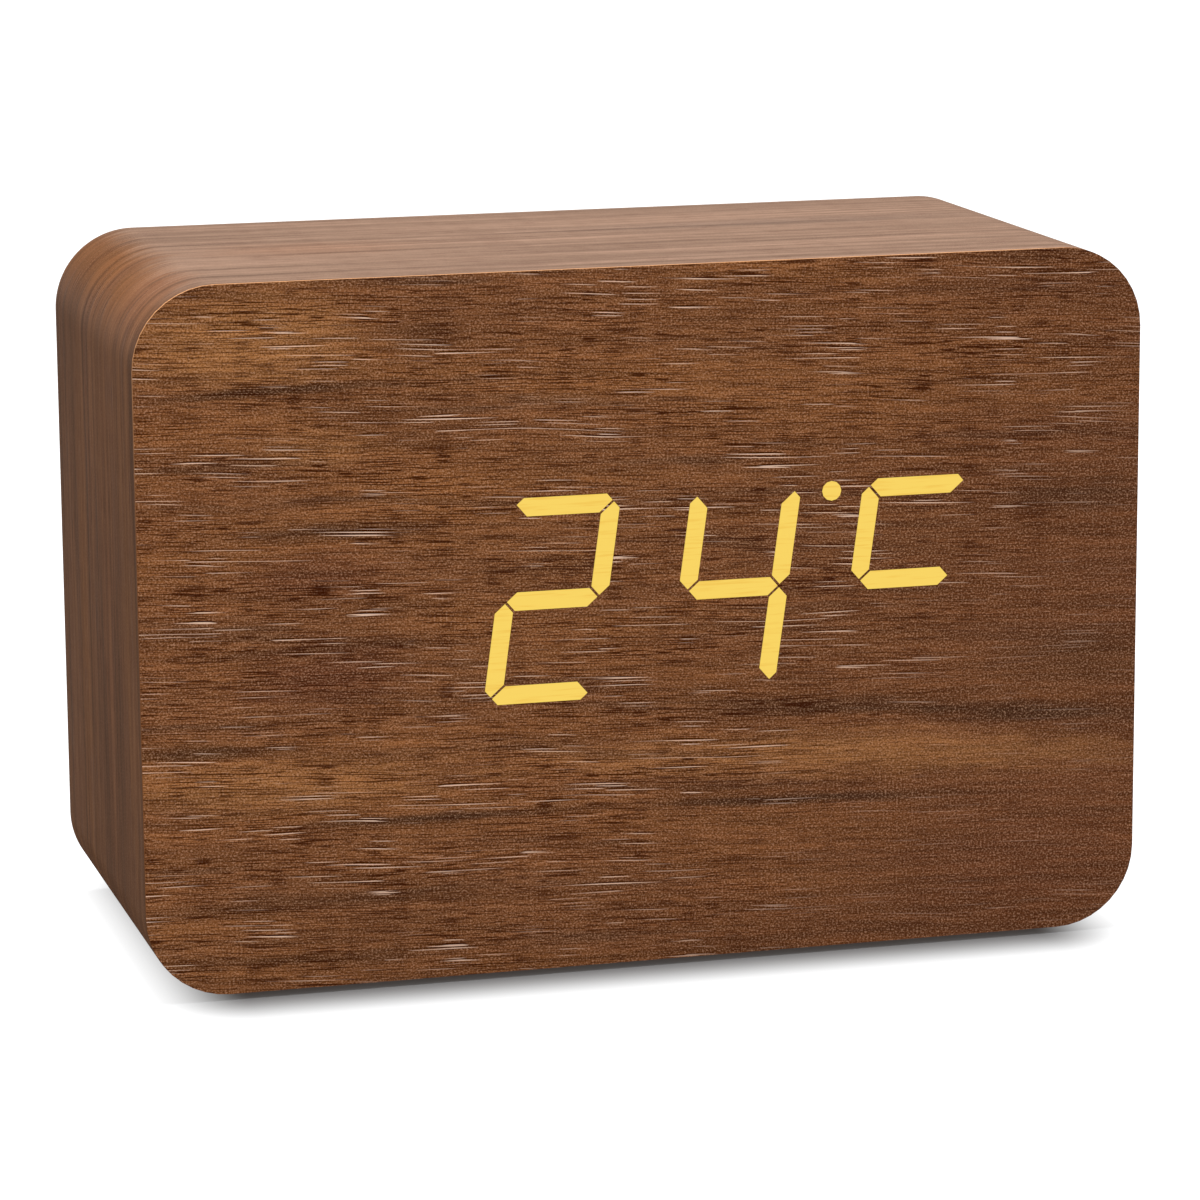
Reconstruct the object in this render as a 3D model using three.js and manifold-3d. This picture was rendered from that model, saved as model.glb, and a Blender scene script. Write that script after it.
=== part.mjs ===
// A radio-controlled alarm clock: a block of board wrapped in wood-look film, with light digits
// that shine through the front film and a plastic cover with the keys and cells at the back.
// Millimetres, +Z up, +X to the viewer's right, the front facing -Y, and the origin under the
// middle of the clock, on the surface it stands on.

import * as THREE from 'three';
import { mergeVertices } from 'three/addons/utils/BufferGeometryUtils.js';
import Module from 'manifold-3d';

const wasm = await Module();
wasm.setup();

// Driving dimensions of the clock
const CLOCK_WIDTH = 100;
const CLOCK_HEIGHT = 69;
const CLOCK_DEPTH = 45;
const CORNER_RADIUS = 8;

// Clearances and the overrun of every cut
const GAP = 0.3;
const GLUE_LINE = 0.03;
const OVERRUN = 1;

// Steps round a quarter of a corner, a full circle, a small circle and a sprung wire
const CORNER_STEPS = 10;
const ROUND_STEPS = 24;
const SMALL_ROUND_STEPS = 12;
const WIRE_SIDES = 5;
const STEPS_PER_CURL = 8;

// Feet
const FOOT_HEIGHT = 0.6;
const FOOT_RADIUS = 4;
const FOOT_SIDE_INSET = 12;
const FOOT_FRONT_INSET = 8;

// Case: film, board walls, the ledge that the rear cover sits on
const FILM_THICKNESS = 0.3;
const FRONT_BOARD_THICKNESS = 5;
const WALL = 6;
const HOLLOW_CHAMFER = 10;
const LEDGE_WIDTH = 3;
const COVER_RECESS = 0.8;

// Display: four seven-bar digits with a colon, and the raised dot of the degree sign
const DIGIT_HEIGHT = 20.1;
const DIGIT_WIDTH = 11.15;
const BAR_STROKE = 1.85;
const BAR_GAP = 0.18;
const DIGIT_CORNER_CHAMFER = 1.45;
const DIGIT_SLANT = THREE.MathUtils.degToRad(8);
const DIGIT_PITCH = 17.4;
const COLON_EXTRA = 0.75;
const COLON_DOT_RADIUS = 1;
const COLON_DOT_SPREAD = 9;
const DEGREE_DOT_RADIUS = 1;
const DEGREE_DOT_BEFORE = 8.7;
const DEGREE_DOT_ABOVE = 9.05;
const DISPLAY_CENTRE_X = -0.8;
const DISPLAY_CENTRE_ABOVE = 2.4;
const MODULE_SIDE_MARGIN = 3;
const MODULE_TOP_MARGIN = 2.4;
const POTTING_THICKNESS = 0.6;
const POTTING_MARGIN = 0.6;

// Which bars of each digit glow: a is the top bar, b to f run on clockwise, g is the middle one
const LIT_BARS = { one: '', two: 'abdeg', three: 'bcfg', four: 'afg' };
const ALL_BARS = 'abcdefg';

// Display circuit board, its screws, and the flat cable to the main board
const CIRCUIT_THICKNESS = 1.6;
const DISPLAY_BOARD_SIDE_LAP = 5.2;
const DISPLAY_BOARD_TOP_LAP = 3.2;
const DISPLAY_SCREW_INSET = 2.6;
const DISPLAY_SCREW_RADIUS = 0.9;
const DISPLAY_SCREW_LENGTH = 4.6;
const DISPLAY_SCREW_HEAD_RADIUS = 2;
const DISPLAY_SCREW_HEAD_HEIGHT = 1.4;
const HEADER_WIDTH = 13;
const HEADER_HEIGHT = 4;
const HEADER_DEPTH = 5;
const HEADER_FROM_SIDE = 13.5;
const RIBBON_WIDTH = 12;
const RIBBON_THICKNESS = 0.9;
const RIBBON_SAG = 1.4;
const RIBBON_STEPS = 16;

// Rear cover
const COVER_THICKNESS = 2.2;
const COVER_SCREW_INSET = 1.5;
const COVER_SCREW_RADIUS = 1.1;
const COVER_SCREW_LENGTH = 8;
const COVER_SCREW_HEAD_RADIUS = 2.5;
const COVER_SCREW_HEAD_HEIGHT = 1.6;
const COUNTERBORE_DEPTH = 1.4;
const CROSS_SLOT_LENGTH = 2.8;
const CROSS_SLOT_WIDTH = 0.7;
const CROSS_SLOT_DEPTH = 0.9;
const BOARD_STANDOFF = 7.5;
const BOSS_RADIUS = 2.5;
const BOSS_SIDE_INSET = 4.7;
const BOSS_EDGE_INSET = 3.6;
const BOSS_ABOVE_BUZZER = 1.4;
const STAKE_RADIUS = 0.9;
const STAKE_HEAD_RADIUS = 1.7;
const STAKE_HEAD_HEIGHT = 0.8;

// Battery bay: three slim cells side by side, lying along X
const CELL_COUNT = 3;
const CELL_LENGTH = 44.5;
const CELL_DIAMETER = 10.5;
const CELL_EDGE_RADIUS = 0.5;
const CELL_NUB_LENGTH = 1;
const CELL_NUB_RADIUS = 1.9;
const CELL_BASE_RADIUS = 3.9;
const CELL_BASE_DEPTH = 0.2;
const CELL_SPACING = 0.35;
const CELL_DOOR_GAP = 0.9;
const BAY_WALL = 1.2;
const BAY_MARGIN = 2.6;
const BAY_CORNER_CLEARANCE = 0.8;
const CONTACT_THICKNESS = 0.4;
const CONTACT_WIDTH = 8;
const CONTACT_DROP = 0.2;
const CONTACT_BUMP_RADIUS = 2;
const CONTACT_BUMP_HEIGHT = 0.6;
const SPRING_LENGTH = 5;
const SPRING_BASE_RADIUS = 3.1;
const SPRING_TIP_RADIUS = 2.2;
const SPRING_WIRE_RADIUS = 0.35;
const SPRING_CURLS = 3.5;

// Battery door: it tips out of the cover on two tongues and snaps shut with a latch
const DOOR_THICKNESS = 1.6;
const DOOR_LIP_WIDTH = 1.55;
const DOOR_CORNER_RADIUS = 1.2;
const DOOR_CLEARANCE = 0.25;
const TONGUE_WIDTH = 6;
const TONGUE_THICKNESS = 1.2;
const TONGUE_REACH = 2.2;
const TONGUE_RIB_THICKNESS = 1.2;
const TONGUE_DROP = 0.2;
const TONGUE_SPREAD = 20;
const LATCH_WIDTH = 8;
const LATCH_THICKNESS = 1;
const LATCH_DEPTH = 2.2;
const LATCH_SETBACK = 0.6;
const LATCH_BUMP = 0.3;
const LATCH_BUMP_DEPTH = 0.8;
const GRIP_RIDGES = 5;
const GRIP_RIDGE_LENGTH = 12;
const GRIP_RIDGE_WIDTH = 0.8;
const GRIP_RIDGE_HEIGHT = 0.4;
const GRIP_RIDGE_PITCH = 1.8;
const GRIP_SETBACK = 3;
const NAIL_NOTCH_RADIUS = 4.5;
const NAIL_NOTCH_DEPTH = 1;

// Main circuit board and what stands on it
const BOARD_MARGIN = 1;
const BAY_BOARD_CLEARANCE = 0.5;
const CHIP_RADIUS = 6.5;
const CHIP_HEIGHT = 1.8;
const CHIP_ABOVE_SLIDE = 2;
const CRYSTAL_RADIUS = 1;
const CRYSTAL_LENGTH = 6;
const CRYSTAL_ABOVE_CHIP = 9;
const RECEIVER_WIDTH = 18;
const RECEIVER_HEIGHT = 11;
const RECEIVER_THICKNESS = 1;
const RECEIVER_STANDOFF = 1.5;
const RECEIVER_PINS = 5;
const RECEIVER_PIN_SIZE = 0.7;
const RECEIVER_PIN_PITCH = 2.54;
const RECEIVER_PIN_INSET = 1.6;
const RECEIVER_FROM_SIDE = 19;
const BUZZER_RADIUS = 6;
const BUZZER_HEIGHT = 5.5;
const BUZZER_HOLE_RADIUS = 1;
const BUZZER_HOLE_DEPTH = 1.5;
const BUZZER_ABOVE_SLIDE = 10.7;
const SENSOR_RADIUS = 1.3;
const SENSOR_STANDOFF = 3;
const SENSOR_LEG_WIDTH = 1.4;
const SENSOR_LEG_THICKNESS = 0.6;

// Low-voltage socket
const JACK_SIZE = 9;
const JACK_BODY_HEIGHT = 6.9;
const JACK_COLLAR_RADIUS = 3.2;
const JACK_COLLAR_RECESS = 0.3;
const JACK_BORE_RADIUS = 1.9;
const JACK_BORE_DEPTH = 8;
const JACK_PIN_RADIUS = 0.65;
const JACK_PIN_SETBACK = 0.8;
const JACK_CORNER_CLEARANCE = 2.22;

// Aerial under the top of the case
const ROD_RADIUS = 4;
const ROD_LENGTH = 50;
const ROD_CENTRE_X = -8;
const COIL_RADIUS = 5.4;
const COIL_LENGTH = 20;
const BRACKET_LENGTH = 42;
const BRACKET_DEPTH = 10;
const BRACKET_THICKNESS = 1.8;
const BRACKET_RING_WALL = 1.5;
const BRACKET_RING_LENGTH = 4;
const BRACKET_RING_SPREAD = 36;
const BRACKET_BEHIND_DISPLAY = 3;

// Keys: a cap in the cover over the plunger of a switch on the board
const KEY_NAMES = ['set', 'up', 'down', 'alarm'];
const KEY_PITCH = 15;
const KEY_RADIUS = 4;
const KEY_EDGE_RADIUS = 0.5;
const KEY_PROUD = 0.6;
const KEY_DISH = 0.3;
const KEY_FLANGE_RADIUS = 4.9;
const KEY_FLANGE_THICKNESS = 0.8;
const KEY_STEM_RADIUS = 1.6;
const SWITCH_SIZE = 6;
const SWITCH_HEIGHT = 3.5;
const PLUNGER_RADIUS = 1.75;
const PLUNGER_PROUD = 1.4;
const PLUNGER_SUNK = 1.2;
const PLUNGER_BORE_DEPTH = 2.2;

// Slide switch that turns the alarm on and off
const SLIDE_TRAVEL = 2.5;
const SLIDE_ABOVE_JACK = 12.3;
const SLIDE_BODY_LENGTH = 9;
const SLIDE_BODY_WIDTH = 4.2;
const SLIDE_BODY_HEIGHT = 3.6;
const SLIDE_STEM_WIDTH = 1.4;
const SLIDE_STEM_SUNK = 1.2;
const SLIDE_SLOT_DEPTH = 1.8;
const SLIDE_KNOB_LENGTH = 3;
const SLIDE_KNOB_WIDTH = 2.6;
const SLIDE_KNOB_SHOULDER = 1.4;
const SLIDE_KNOB_PROUD = 0.4;
const SLIDE_GROOVES = 3;
const SLIDE_GROOVE_WIDTH = 0.4;
const SLIDE_GROOVE_DEPTH = 0.3;
const SLIDE_GROOVE_PITCH = 0.85;

// Slots in the cover in front of the buzzer and beside the temperature sensor
const GRILLE_SLOTS = 5;
const GRILLE_SLOT_LENGTH = 9;
const GRILLE_SLOT_WIDTH = 1;
const GRILLE_PITCH = 2;
const VENT_SLOTS = 3;
const VENT_SLOT_LENGTH = 5;

// Depths, counted from the middle of the case
const caseHeight = CLOCK_HEIGHT - FOOT_HEIGHT;
const caseCentreZ = FOOT_HEIGHT + caseHeight / 2;
const frontY = -CLOCK_DEPTH / 2;
const backY = CLOCK_DEPTH / 2;
const boardFrontY = frontY + FILM_THICKNESS;
const boardBackY = boardFrontY + FRONT_BOARD_THICKNESS;
const bodyBackY = backY - FILM_THICKNESS;
const coverBackY = backY - COVER_RECESS;
const coverFrontY = coverBackY - COVER_THICKNESS;

// Outlines of the case, drawn round its middle
const skin = FILM_THICKNESS + GLUE_LINE;
const bodyWidth = CLOCK_WIDTH - 2 * skin;
const bodyHeight = caseHeight - 2 * skin;
const bodyRadius = CORNER_RADIUS - skin;
const hollowWidth = bodyWidth - 2 * WALL;
const hollowHeight = bodyHeight - 2 * WALL;
const rebateWidth = hollowWidth + 2 * LEDGE_WIDTH;
const rebateHeight = hollowHeight + 2 * LEDGE_WIDTH;
const rebateRadius = bodyRadius - (WALL - LEDGE_WIDTH);

// Display, drawn round its own middle
const displayZ = DISPLAY_CENTRE_ABOVE;
const halfColonPitch = (DIGIT_PITCH + COLON_EXTRA) / 2;
const digitCentres = {
  one: -halfColonPitch - DIGIT_PITCH,
  two: -halfColonPitch,
  three: halfColonPitch,
  four: halfColonPitch + DIGIT_PITCH
};
const slantReach = (DIGIT_HEIGHT / 2) * Math.tan(DIGIT_SLANT);
const moduleWidth = 2 * (digitCentres.four + DIGIT_WIDTH / 2 + slantReach + MODULE_SIDE_MARGIN);
const moduleHeight = DIGIT_HEIGHT + 2 * MODULE_TOP_MARGIN;
const windowWidth = moduleWidth + 2 * GAP;
const windowHeight = moduleHeight + 2 * GAP;
const reflectorDepth = FRONT_BOARD_THICKNESS - POTTING_THICKNESS;
const displayBoardWidth = windowWidth + 2 * DISPLAY_BOARD_SIDE_LAP;
const displayBoardHeight = windowHeight + 2 * DISPLAY_BOARD_TOP_LAP;
const displayBoardBackY = boardBackY + CIRCUIT_THICKNESS;
const displayScrewX = displayBoardWidth / 2 - DISPLAY_SCREW_INSET;
const headerX = hollowWidth / 2 - HEADER_FROM_SIDE;
const headerZ = displayZ + displayBoardHeight / 2 - HEADER_HEIGHT / 2;

// Battery bay, from the cells outwards
const cellRadius = CELL_DIAMETER / 2;
const cellPitch = CELL_DIAMETER + CELL_SPACING;
const bayHeight = CELL_COUNT * CELL_DIAMETER + (CELL_COUNT + 1) * CELL_SPACING;
const contactGap = CONTACT_THICKNESS + GAP;
const bayLength = CELL_LENGTH + SPRING_LENGTH + CONTACT_BUMP_HEIGHT + 2 * contactGap;
const bayLeft = -hollowWidth / 2 + HOLLOW_CHAMFER - BAY_MARGIN + BAY_CORNER_CLEARANCE;
const bayBottom = -hollowHeight / 2 + BAY_MARGIN;
const bayRight = bayLeft + bayLength + 2 * BAY_WALL;
const bayTop = bayBottom + bayHeight + 2 * BAY_WALL;
const bayX = (bayLeft + bayRight) / 2;
const bayZ = (bayBottom + bayTop) / 2;
const doorFrontY = coverBackY - DOOR_THICKNESS;
const cellY = doorFrontY - CELL_DOOR_GAP - cellRadius;
const bayFloorY = cellY - cellRadius - GAP;
const bayBackY = bayFloorY - BAY_WALL;
const recessLength = bayLength + 2 * DOOR_LIP_WIDTH;
const recessHeight = bayHeight + 2 * DOOR_LIP_WIDTH;
const doorLength = recessLength - 2 * DOOR_CLEARANCE;
const doorHeight = recessHeight - 2 * DOOR_CLEARANCE;
const doorHingeX = bayX - doorLength / 2;
const tongueTopY = coverFrontY - TONGUE_DROP;
const tongueBottomY = tongueTopY - TONGUE_THICKNESS;
const tongueSweep = Math.hypot(TONGUE_REACH, coverBackY - tongueBottomY);
const tongueSlotY = coverBackY - tongueSweep - GAP;
const contactTopY = tongueSlotY - CONTACT_DROP;

// Main board: an L round the battery bay, held on the cover's bosses
const mainBoardBackY = coverFrontY - BOARD_STANDOFF;
const mainBoardFrontY = mainBoardBackY - CIRCUIT_THICKNESS;
const stripX = (bayRight + hollowWidth / 2) / 2;
const keyZ = (bayTop + hollowHeight / 2) / 2;
const cornerRise = Math.max(0, stripX + JACK_SIZE / 2 - (hollowWidth / 2 - HOLLOW_CHAMFER));
const jackZ = -hollowHeight / 2 + cornerRise + JACK_CORNER_CLEARANCE + JACK_SIZE / 2;
const slideZ = jackZ + SLIDE_ABOVE_JACK;
const buzzerZ = slideZ + BUZZER_ABOVE_SLIDE;
const bossPlaces = [
  [-hollowWidth / 2 + BOSS_SIDE_INSET, bayTop + BOSS_EDGE_INSET],
  [hollowWidth / 2 - BOSS_SIDE_INSET, buzzerZ + BUZZER_RADIUS + BOSS_ABOVE_BUZZER + BOSS_RADIUS],
  [hollowWidth / 2 - BOSS_SIDE_INSET, jackZ + JACK_SIZE / 2 + BOSS_RADIUS + GAP],
  [bayRight + BOSS_EDGE_INSET, -hollowHeight / 2 + BOARD_MARGIN + BOSS_EDGE_INSET]
];
const coverScrewX = hollowWidth / 2 - COVER_SCREW_INSET;
const coverScrewZ = hollowHeight / 2 - COVER_SCREW_INSET;
const slideSlotLength = SLIDE_KNOB_LENGTH + SLIDE_TRAVEL + 2 * GAP;
const slideSlotX = stripX + SLIDE_TRAVEL / 2;

// Finishes
const finish = (color, roughness, metalness = 0) =>
  new THREE.MeshStandardMaterial({ color, roughness, metalness, flatShading: true });
const FINISHES = {
  walnutFilm: () => finish(0x7a4e30, 0.55),
  fibreboard: () => finish(0xa98a63, 0.9),
  blackPlastic: () => finish(0x1b1b1c, 0.6),
  reflectorPlastic: () => finish(0x2a2a2c, 0.5),
  amberResin: () => finish(0xf6d04a, 0.4),
  greenCircuit: () => finish(0x1e5a34, 0.45),
  steel: () => finish(0xb8bbc0, 0.35, 1),
  nickel: () => finish(0xcfc9bd, 0.3, 1),
  copper: () => finish(0xb5713c, 0.4, 1),
  ferrite: () => finish(0x34343a, 0.7),
  cellSleeve: () => finish(0x2f4f7a, 0.35),
  ribbon: () => finish(0xb9b7b2, 0.5),
  rubber: () => finish(0x202020, 0.9)
};

// Outline points, counter-clockwise, drawn in X and Z
const point = (x, z) => new THREE.Vector2(x, z);

function roundedRectangle(width, height, radius, x = 0, z = 0) {
  const points = [];
  const corners = [[1, 1, 0], [-1, 1, 1], [-1, -1, 2], [1, -1, 3]];
  for (const [sideX, sideZ, quarter] of corners) {
    const centreX = x + sideX * (width / 2 - radius);
    const centreZ = z + sideZ * (height / 2 - radius);
    for (let step = 0; step <= CORNER_STEPS; step += 1) {
      const angle = (quarter + step / CORNER_STEPS) * (Math.PI / 2);
      points.push(point(centreX + radius * Math.cos(angle), centreZ + radius * Math.sin(angle)));
    }
  }
  return points;
}

function chamferedRectangle(width, height, chamfer) {
  const right = width / 2;
  const top = height / 2;
  return [
    point(right, -top + chamfer), point(right, top - chamfer),
    point(right - chamfer, top), point(-right + chamfer, top),
    point(-right, top - chamfer), point(-right, -top + chamfer),
    point(-right + chamfer, -top), point(right - chamfer, -top)
  ];
}

function circle(radius, x, z, steps) {
  return Array.from({ length: steps }, (_, step) => {
    const angle = (step / steps) * 2 * Math.PI;
    return point(x + radius * Math.cos(angle), z + radius * Math.sin(angle));
  });
}

// A convex outline with each side moved in by the same distance
function inset(points, distance) {
  return points.map((corner, index) => {
    const before = points[(index + points.length - 1) % points.length];
    const after = points[(index + 1) % points.length];
    const sideIn = corner.clone().sub(before).normalize();
    const sideOut = after.clone().sub(corner).normalize();
    const inIn = point(-sideIn.y, sideIn.x);
    const inOut = point(-sideOut.y, sideOut.x);
    const middle = inIn.clone().add(inOut);
    return corner.clone().add(middle.multiplyScalar(distance / (1 + inIn.dot(inOut))));
  });
}

// Solids: an outline pushed back from y = 0, a turned profile round Y, and a block
function plate(points, thickness, holes = []) {
  const shape = new THREE.Shape(points);
  shape.holes = holes.map((hole) => new THREE.Path(hole));
  const geometry = new THREE.ExtrudeGeometry(shape, { depth: thickness, bevelEnabled: false });
  geometry.rotateX(Math.PI / 2);
  geometry.translate(0, thickness, 0);
  return geometry;
}

function turned(profile, steps = ROUND_STEPS) {
  return new THREE.LatheGeometry(profile.map(([radius, y]) => point(radius, y)), steps);
}

function block(width, depth, height, x = 0, y = 0, z = 0) {
  return new THREE.BoxGeometry(width, depth, height).translate(x, y + depth / 2, z);
}

function rod(radius, length, x, y, z, steps = ROUND_STEPS) {
  return new THREE.CylinderGeometry(radius, radius, length, steps)
    .translate(x, y + length / 2, z);
}

// A closed mesh with shared vertices and no collapsed triangles
function welded(geometry) {
  const bare = new THREE.BufferGeometry();
  bare.setAttribute('position', geometry.getAttribute('position'));
  bare.setIndex(geometry.getIndex());
  const merged = mergeVertices(bare);
  const corners = merged.getIndex().array;
  const kept = [];
  for (let first = 0; first < corners.length; first += 3) {
    const [a, b, c] = corners.slice(first, first + 3);
    if (a !== b && b !== c && c !== a) kept.push(a, b, c);
  }
  merged.setIndex(kept);
  return merged;
}

function solid(geometry) {
  const closed = welded(geometry);
  return new wasm.Manifold(new wasm.Mesh({
    numProp: 3,
    vertProperties: closed.getAttribute('position').array,
    triVerts: new Uint32Array(closed.getIndex().array)
  }));
}

function shell(manifold) {
  const mesh = manifold.getMesh();
  const geometry = new THREE.BufferGeometry();
  geometry.setAttribute('position', new THREE.BufferAttribute(mesh.vertProperties, 3));
  geometry.setIndex(new THREE.BufferAttribute(mesh.triVerts, 1));
  return geometry;
}

function fuse(...geometries) {
  return shell(geometries.map(solid).reduce((whole, piece) => whole.add(piece)));
}

function carve(geometry, ...tools) {
  return shell(tools.map(solid).reduce((whole, tool) => whole.subtract(tool), solid(geometry)));
}

function piece(parent, name, geometry, material, x = 0, y = 0, z = 0) {
  const mesh = new THREE.Mesh(welded(geometry), material());
  mesh.name = name;
  mesh.position.set(x, y, z);
  parent.add(mesh);
  return mesh;
}

// Case: the body ring, the front board, and the film round them
function addCase(clock) {
  const bodyDepth = bodyBackY - boardBackY;
  const bodyOutline = roundedRectangle(bodyWidth, bodyHeight, bodyRadius);
  const rebateOutline = roundedRectangle(rebateWidth, rebateHeight, rebateRadius);
  const hollow = chamferedRectangle(hollowWidth, hollowHeight, HOLLOW_CHAMFER);
  const ledgeDepth = coverFrontY - boardBackY;
  const screwHoles = coverScrewPlaces().map(([x, z]) =>
    rod(COVER_SCREW_RADIUS + GAP, COVER_SCREW_LENGTH + OVERRUN, x,
      ledgeDepth - COVER_SCREW_LENGTH, z, SMALL_ROUND_STEPS));
  const body = carve(
    plate(bodyOutline, bodyDepth),
    plate(hollow, bodyDepth + 2 * OVERRUN).translate(0, -OVERRUN, 0),
    plate(rebateOutline, bodyDepth).translate(0, ledgeDepth, 0),
    ...screwHoles
  );
  piece(clock, 'case_body', body, FINISHES.fibreboard, 0, boardBackY);

  const pilotDepth = DISPLAY_SCREW_LENGTH - CIRCUIT_THICKNESS + GAP;
  const windowOutline = rectangle(windowWidth, windowHeight);
  const frontBoard = carve(
    plate(bodyOutline, FRONT_BOARD_THICKNESS),
    plate(windowOutline, FRONT_BOARD_THICKNESS + 2 * OVERRUN)
      .translate(DISPLAY_CENTRE_X, -OVERRUN, displayZ),
    ...[-1, 1].map((side) => rod(DISPLAY_SCREW_RADIUS + GAP, pilotDepth + OVERRUN,
      DISPLAY_CENTRE_X + side * displayScrewX, FRONT_BOARD_THICKNESS - pilotDepth, displayZ,
      SMALL_ROUND_STEPS))
  );
  piece(clock, 'front_board', frontBoard, FINISHES.fibreboard, 0, boardFrontY);

  const bandDepth = backY - boardFrontY;
  const turnedInDepth = bandDepth - FILM_THICKNESS;
  const sideFilm = carve(
    plate(roundedRectangle(CLOCK_WIDTH, caseHeight, CORNER_RADIUS), bandDepth),
    plate(roundedRectangle(bodyWidth + 2 * GLUE_LINE, bodyHeight + 2 * GLUE_LINE,
      bodyRadius + GLUE_LINE), turnedInDepth + OVERRUN).translate(0, -OVERRUN, 0),
    plate(rebateOutline, bandDepth + 2 * OVERRUN).translate(0, -OVERRUN, 0)
  );
  piece(clock, 'side_film', sideFilm, FINISHES.walnutFilm, 0, boardFrontY);

  const frontOutline = roundedRectangle(CLOCK_WIDTH, caseHeight, CORNER_RADIUS,
    -DISPLAY_CENTRE_X, -displayZ);
  const openings = Object.keys(LIT_BARS).flatMap((digit) =>
    [...LIT_BARS[digit]].map((bar) => barOutline(bar, digit)));
  openings.push(degreeOutline(0));
  piece(clock, 'front_film', plate(frontOutline, FILM_THICKNESS, openings),
    FINISHES.walnutFilm, DISPLAY_CENTRE_X, frontY, displayZ);
}

function rectangle(width, height) {
  return [point(width / 2, height / 2), point(-width / 2, height / 2),
    point(-width / 2, -height / 2), point(width / 2, -height / 2)];
}

function coverScrewPlaces() {
  return [[-1, 1], [1, 1], [-1, -1], [1, -1]].map(([sideX, sideZ]) =>
    [sideX * coverScrewX, sideZ * coverScrewZ]);
}

// One bar of an upright digit round its middle. The outer corners of a digit are cut off, and
// its bars meet there and at the middle along lines at 45 degrees, with a thin gap between.
function uprightBar(bar) {
  const right = DIGIT_WIDTH / 2;
  const top = DIGIT_HEIGHT / 2;
  const cut = DIGIT_CORNER_CHAMFER;
  const half = BAR_STROKE / 2;
  const split = BAR_GAP / Math.SQRT2;
  if (bar === 'g') {
    const tip = right - half - split;
    return [point(tip, 0), point(tip - half, half), point(half - tip, half),
      point(-tip, 0), point(half - tip, -half), point(tip - half, -half)];
  }
  if (bar === 'a' || bar === 'd') {
    const side = bar === 'a' ? 1 : -1;
    const tipX = right - (cut + split) / 2;
    const tipZ = top - (cut - split) / 2;
    const innerX = right - BAR_STROKE - split;
    const rightHalf = [[innerX, top - BAR_STROKE], [tipX, tipZ], [right - cut, top]];
    const leftHalf = rightHalf.map(([x, z]) => [-x, z]).reverse();
    const points = [...rightHalf, ...leftHalf].map(([x, z]) => point(x, side * z));
    return side > 0 ? points : points.reverse();
  }
  const sideX = bar === 'b' || bar === 'c' ? 1 : -1;
  const sideZ = bar === 'b' || bar === 'f' ? 1 : -1;
  const points = [
    [right, half + split], [right, top - cut],
    [right - (cut - split) / 2, top - (cut + split) / 2],
    [right - BAR_STROKE, top - BAR_STROKE - split],
    [right - BAR_STROKE, half + split], [right - half, split]
  ].map(([x, z]) => point(sideX * x, sideZ * z));
  return sideX * sideZ > 0 ? points : points.reverse();
}

function slanted(points, centreX) {
  return points.map(({ x, y }) => point(centreX + x + y * Math.tan(DIGIT_SLANT), y));
}

function barOutline(bar, digit) {
  return slanted(uprightBar(bar), digitCentres[digit]);
}

function degreeOutline(clearance) {
  const x = digitCentres.four - DEGREE_DOT_BEFORE + DEGREE_DOT_ABOVE * Math.tan(DIGIT_SLANT);
  return circle(DEGREE_DOT_RADIUS - clearance, x, DEGREE_DOT_ABOVE, SMALL_ROUND_STEPS);
}

function colonOutlines(clearance) {
  return [1, -1].map((side) => {
    const z = (side * COLON_DOT_SPREAD) / 2;
    return circle(COLON_DOT_RADIUS - clearance, z * Math.tan(DIGIT_SLANT), z, SMALL_ROUND_STEPS);
  });
}

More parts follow.
